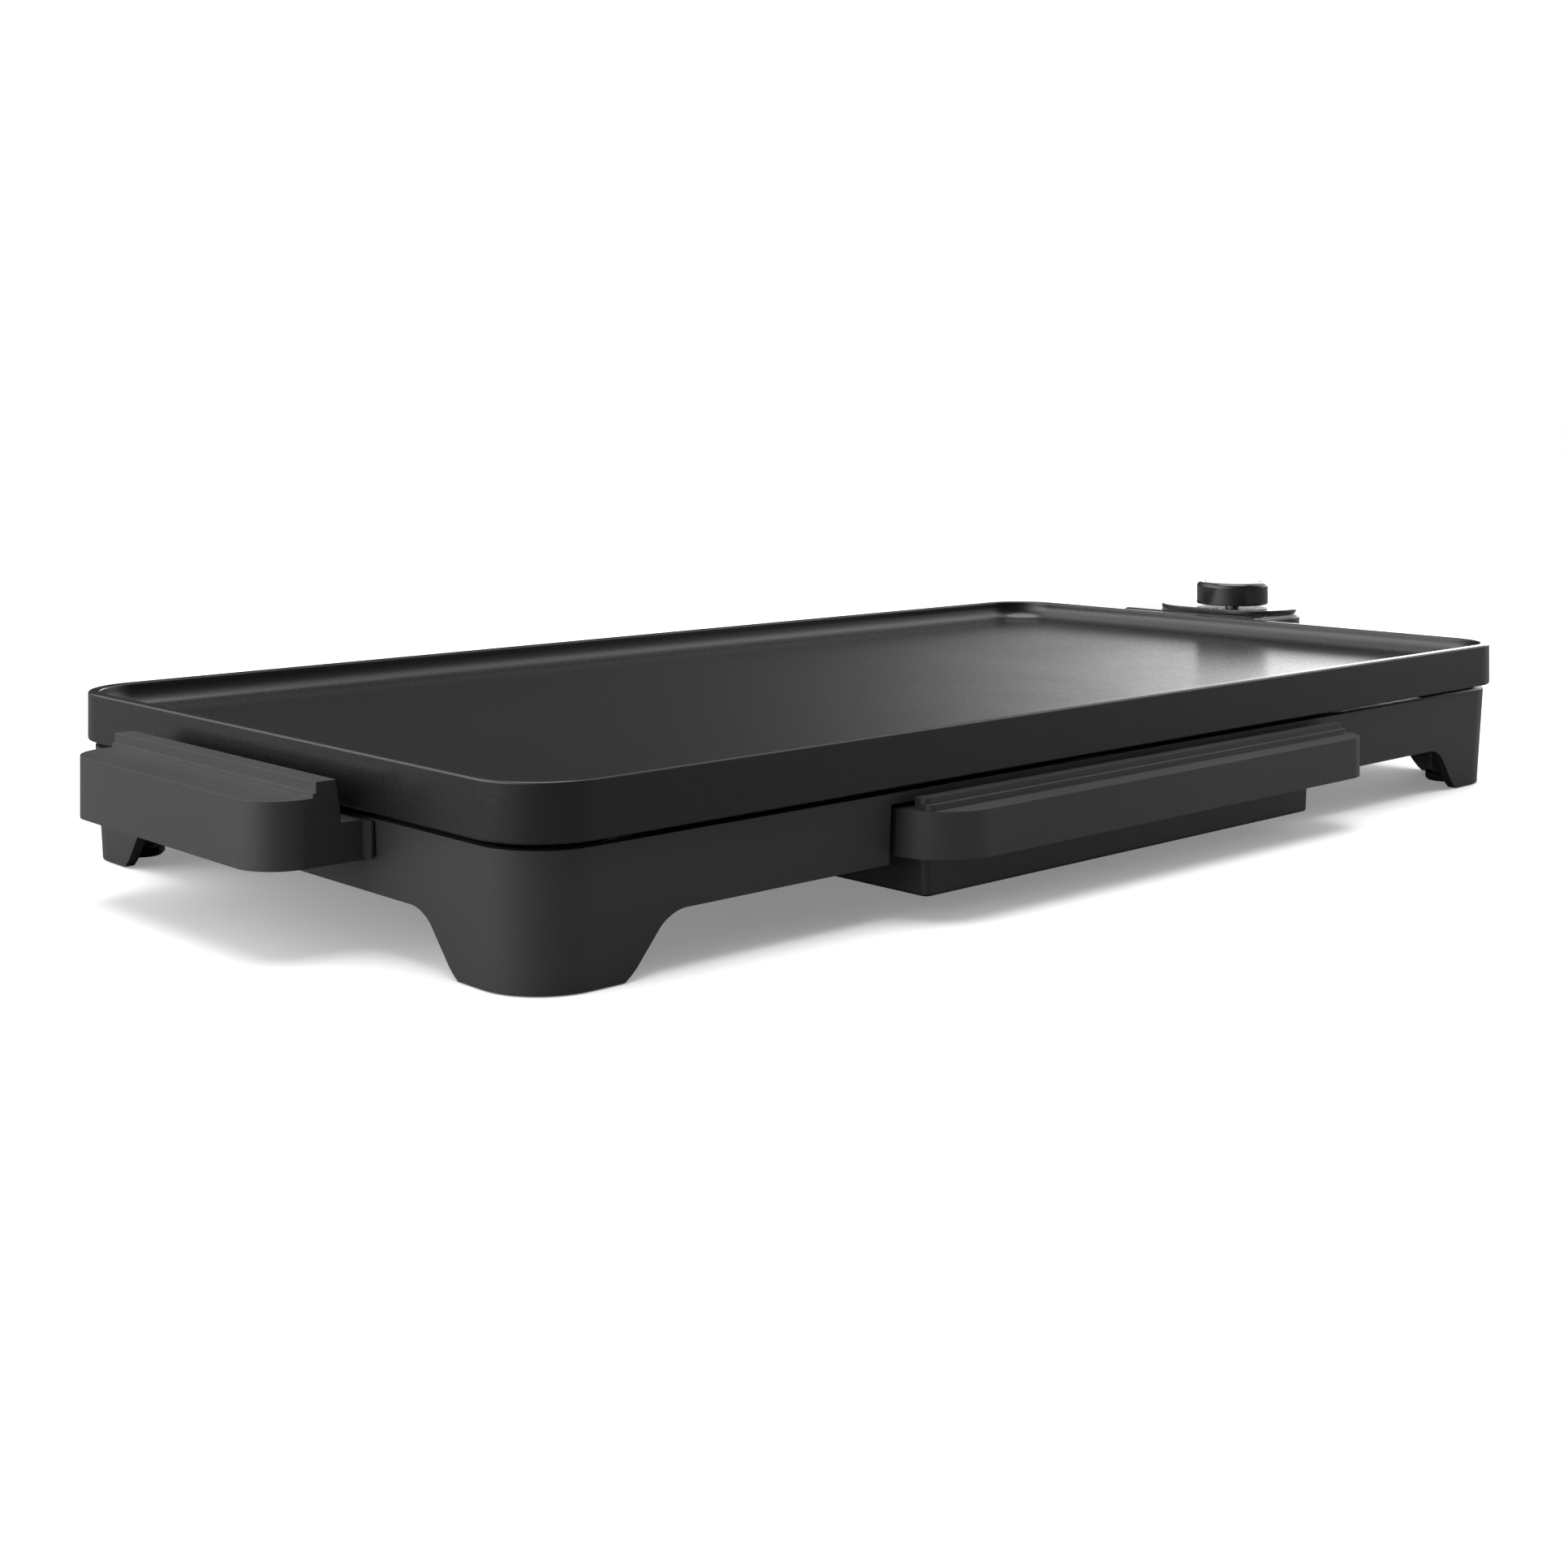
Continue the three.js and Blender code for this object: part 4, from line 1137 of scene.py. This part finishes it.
# %% [markdown]
# ## Thermostat
# The thermostat is a housing of two shells that plugs into the side of the griddle. Both shells
# have the same outline: nearly square corners towards the griddle and large round ones outside.
# Each is a block with its corners bevelled, hollowed by a smaller copy of itself.

# %% Housing shells
CASE_CORNER_IN = 3
CASE_CORNER_OUT = 23.7
CASE_WALL = 2
CASE_EDGE = 2.2
COVER_BOSS = 4.4 * MM
SPINDLE_HOLE = 3.6 * MM
LENS_HOLE = 2.8 * MM


def case_block(name, node, inset, bottom=None, top=None):
    """Solid with the housing's outline, drawn in by an inset and between two heights."""
    low, high = (Vector(corner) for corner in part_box(node))
    inward = Vector((inset * MM, inset * MM, 0))
    low = low + inward
    high = high - inward
    low.z = low.z if bottom is None else bottom * MM
    high.z = high.z if top is None else top * MM
    solid = block(name, low, high)
    round_edges(solid, upright_at_x(low.x), max(CASE_CORNER_IN - inset, 1) * MM, 4)
    round_edges(solid, upright_at_x(high.x), (CASE_CORNER_OUT - inset) * MM, 16)
    return solid


def thermostat_cover():
    """Upper shell with its rounded top edge, screw bosses and openings."""
    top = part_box("thermostat_upper")[1][2]
    ceiling = top / MM - CASE_WALL
    cover = case_block("thermostat_cover", "thermostat_upper", 0)
    round_edges(cover, all_round(top), CASE_EDGE * MM, 5)
    boolean(cover, case_block("inside", "thermostat_upper", CASE_WALL, 30, ceiling))
    for name in ("housing_screw_front", "housing_screw_back"):
        x, y, _ = middle_of(name)
        boolean(cover, rod("boss", COVER_BOSS, at(x, y, 45), (ceiling - 44.5) * MM), "UNION")
        boolean(cover, screw_bore(at(x, y, 40), (ceiling - 41) * MM))
    x, y, _ = middle_of("knob_spindle")
    boolean(cover, rod("spindle_hole", SPINDLE_HOLE, at(x, y, 40), 30 * MM))
    _, y, z = middle_of("pilot_lens")
    boolean(cover, rod("lens_hole", LENS_HOLE, at(290, y, z), 12 * MM, "X"))
    soften(cover, 0.25 * MM, 2, 40)
    finish_piece(cover, "thermostat", "gloss_black", "thermostat_upper")


thermostat_cover()

# %% [markdown]
# The lower shell carries the plug side: one hole for the probe, two for the contacts, and the gland
# for the supply lead. A row of cooling slots is cut through its floor.

# %% Lower shell
PROBE_HOLE = 2.9 * MM
CONTACT_HOLE = 3.6 * MM
GLAND_HOLE = 4.6 * MM
COOLING_SLOTS = 5
COOLING_XS = (256, 270)
COOLING_FIRST = 50
COOLING_PITCH = 3.4
COOLING_HALF = 0.8
COOLING_CORNER = 0.7 * MM


def thermostat_case():
    """Lower shell, open at the top, with its holes."""
    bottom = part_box("thermostat_lower")[0][2]
    case = case_block("thermostat_case", "thermostat_lower", 0)
    round_edges(case, all_round(bottom), 1.0 * MM, 3)
    boolean(case, case_block("inside", "thermostat_lower", CASE_WALL, bottom / MM + CASE_WALL, 60))
    _, y, z = middle_of("probe_rod")
    boolean(case, rod("probe_hole", PROBE_HOLE, at(240, y, z), 12 * MM, "X"))
    for name in ("contact_sleeve_front", "contact_sleeve_back"):
        _, y, z = middle_of(name)
        boolean(case, rod("contact_hole", CONTACT_HOLE, at(240, y, z), 12 * MM, "X"))
    _, y, z = middle_of("cord_gland")
    boolean(case, rod("gland_hole", GLAND_HOLE, at(290, y, z), 10 * MM, "X"))
    for name in ("housing_screw_front", "housing_screw_back"):
        x, y, _ = middle_of(name)
        boolean(case, screw_bore(at(x, y, 20), 20 * MM))
    for number in range(COOLING_SLOTS):
        y = COOLING_FIRST + COOLING_PITCH * number
        slot = chunk("cooling_slot", COOLING_XS, (y - COOLING_HALF, y + COOLING_HALF), (25, 40))
        round_edges(slot, upright, COOLING_CORNER, 3)
        boolean(case, slot)
    soften(case, 0.3 * MM, 2, 40)
    finish_piece(case, "thermostat", "moulded_black", "thermostat_lower")


thermostat_case()

# %% [markdown]
# The dial lies on the cover under the knob. Its scale is printed: six numbers round the knob and
# short ticks between them. Each number starts as a text object and is turned into a mesh before
# its place is applied. The knob turns through three quarters of a circle, clockwise from 0.

# %% Dial and its scale
knob_x, knob_y, _ = middle_of("knob_spindle")
dial_low, dial_high = (Vector(corner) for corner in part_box("dial_plate"))
DIAL_CORNER = 20.4
SCALE_RADIUS = 18.7
SCALE_TURN = 270
NUMBERS = 6
TICKS_BETWEEN = 4
FIGURE_HEIGHT = 3.2 * MM
TICK_LENGTH = 1.3 * MM
TICK_WIDTH = 0.25 * MM
INK = 0.03


def dial_plate():
    """Thin glossy plate with round ends."""
    dial = block("dial", dial_low, dial_high)
    round_edges(dial, upright, DIAL_CORNER * MM, 20)
    round_edges(dial, all_round(dial_high.z), 0.5 * MM, 3)
    boolean(dial, rod("spindle_hole", SPINDLE_HOLE, at(knob_x, knob_y, 50), 20 * MM))
    soften(dial, 0.15 * MM, 2, 40)
    finish_piece(dial, "thermostat", "gloss_black", "dial_plate")


def on_scale(angle):
    """Point of the printed scale at one angle round the knob."""
    x = knob_x + SCALE_RADIUS * math.cos(angle)
    y = knob_y + SCALE_RADIUS * math.sin(angle)
    return at(x, y, dial_high.z / MM + INK)


def scale_number(number, angle):
    """One printed figure, its foot towards the knob."""
    bpy.ops.object.select_all(action="DESELECT")
    bpy.ops.object.text_add(location=on_scale(angle), rotation=(0, 0, angle - math.radians(90)))
    figure = bpy.context.object
    figure.data.body = str(number)
    figure.data.size = FIGURE_HEIGHT
    figure.data.align_x = "CENTER"
    figure.data.align_y = "CENTER"
    figure.data.extrude = INK * MM
    bpy.ops.object.convert(target="MESH")
    return named(f"figure_{number}")


def scale_tick(angle):
    """Short radial line between two figures."""
    bpy.ops.object.select_all(action="DESELECT")
    bpy.ops.mesh.primitive_cube_add(size=1, location=on_scale(angle), rotation=(0, 0, angle),
                                    scale=(TICK_LENGTH, TICK_WIDTH, 2 * INK * MM))
    return named("tick")


def dial_scale():
    """All figures and ticks joined into one printed piece."""
    marks = []
    steps = (NUMBERS - 1) * TICKS_BETWEEN
    for step in range(steps + 1):
        angle = -math.radians(SCALE_TURN) * step / steps
        on_figure = step % TICKS_BETWEEN == 0
        marks.append(scale_number(step // TICKS_BETWEEN, angle) if on_figure else scale_tick(angle))
    bpy.ops.object.select_all(action="DESELECT")
    for mark in marks:
        mark.select_set(True)
    bpy.context.view_layer.objects.active = marks[0]
    bpy.ops.object.join()
    scale = named("dial_scale")
    finish_piece(scale, "thermostat", "print_white")


dial_plate()
dial_scale()

# %% [markdown]
# ## Knob
# The knob is a plain turned cap. A cylinder with many sides has its top edge bevelled, a fine
# groove is inset into the top, and a slot is cut for the white pointer, which CAD provides.

# %% Knob
knob_low, knob_high = (Vector(corner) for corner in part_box("knob_cap"))
KNOB_RADIUS = (knob_high.x - knob_low.x) / 2
KNOB_EDGE = 2.0 * MM
GROOVE = ((0.9, 0.0), (0.35, -0.3), (0.5, 0.0), (0.35, 0.3))
POINTER_MARGIN = Vector((0.15 * MM, 0.15 * MM, 0.1 * MM))
SOCKET_RADIUS = 3.3 * MM
SOCKET_BOTTOM = 50


def temperature_knob():
    """Turned cap with a rounded edge, a groove and the pointer's slot."""
    start = at(knob_x, knob_y, knob_low.z / MM)
    knob = rod("temperature_knob", KNOB_RADIUS, start, knob_high.z - knob_low.z, "Z", 96)
    round_edges(knob, all_round(knob_high.z), KNOB_EDGE, 6)
    round_edges(knob, all_round(knob_low.z), 0.5 * MM, 2)
    height = knob_high.z
    for thickness, depth in GROOVE:
        step_in(knob, floor_patch(start, height), thickness * MM, depth * MM)
        height += depth * MM
    low, high = (Vector(corner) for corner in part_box("knob_pointer"))
    boolean(knob, block("slot", low - POINTER_MARGIN, high + POINTER_MARGIN + Vector((0, 0, MM))))
    depth = knob_low.z + (5 - SOCKET_BOTTOM) * MM
    boolean(knob, rod("socket", SOCKET_RADIUS, at(knob_x, knob_y, SOCKET_BOTTOM), depth))
    soften(knob, 0.12 * MM, 2, 40)
    finish_piece(knob, "knob", "gloss_black", "knob_cap")


temperature_knob()
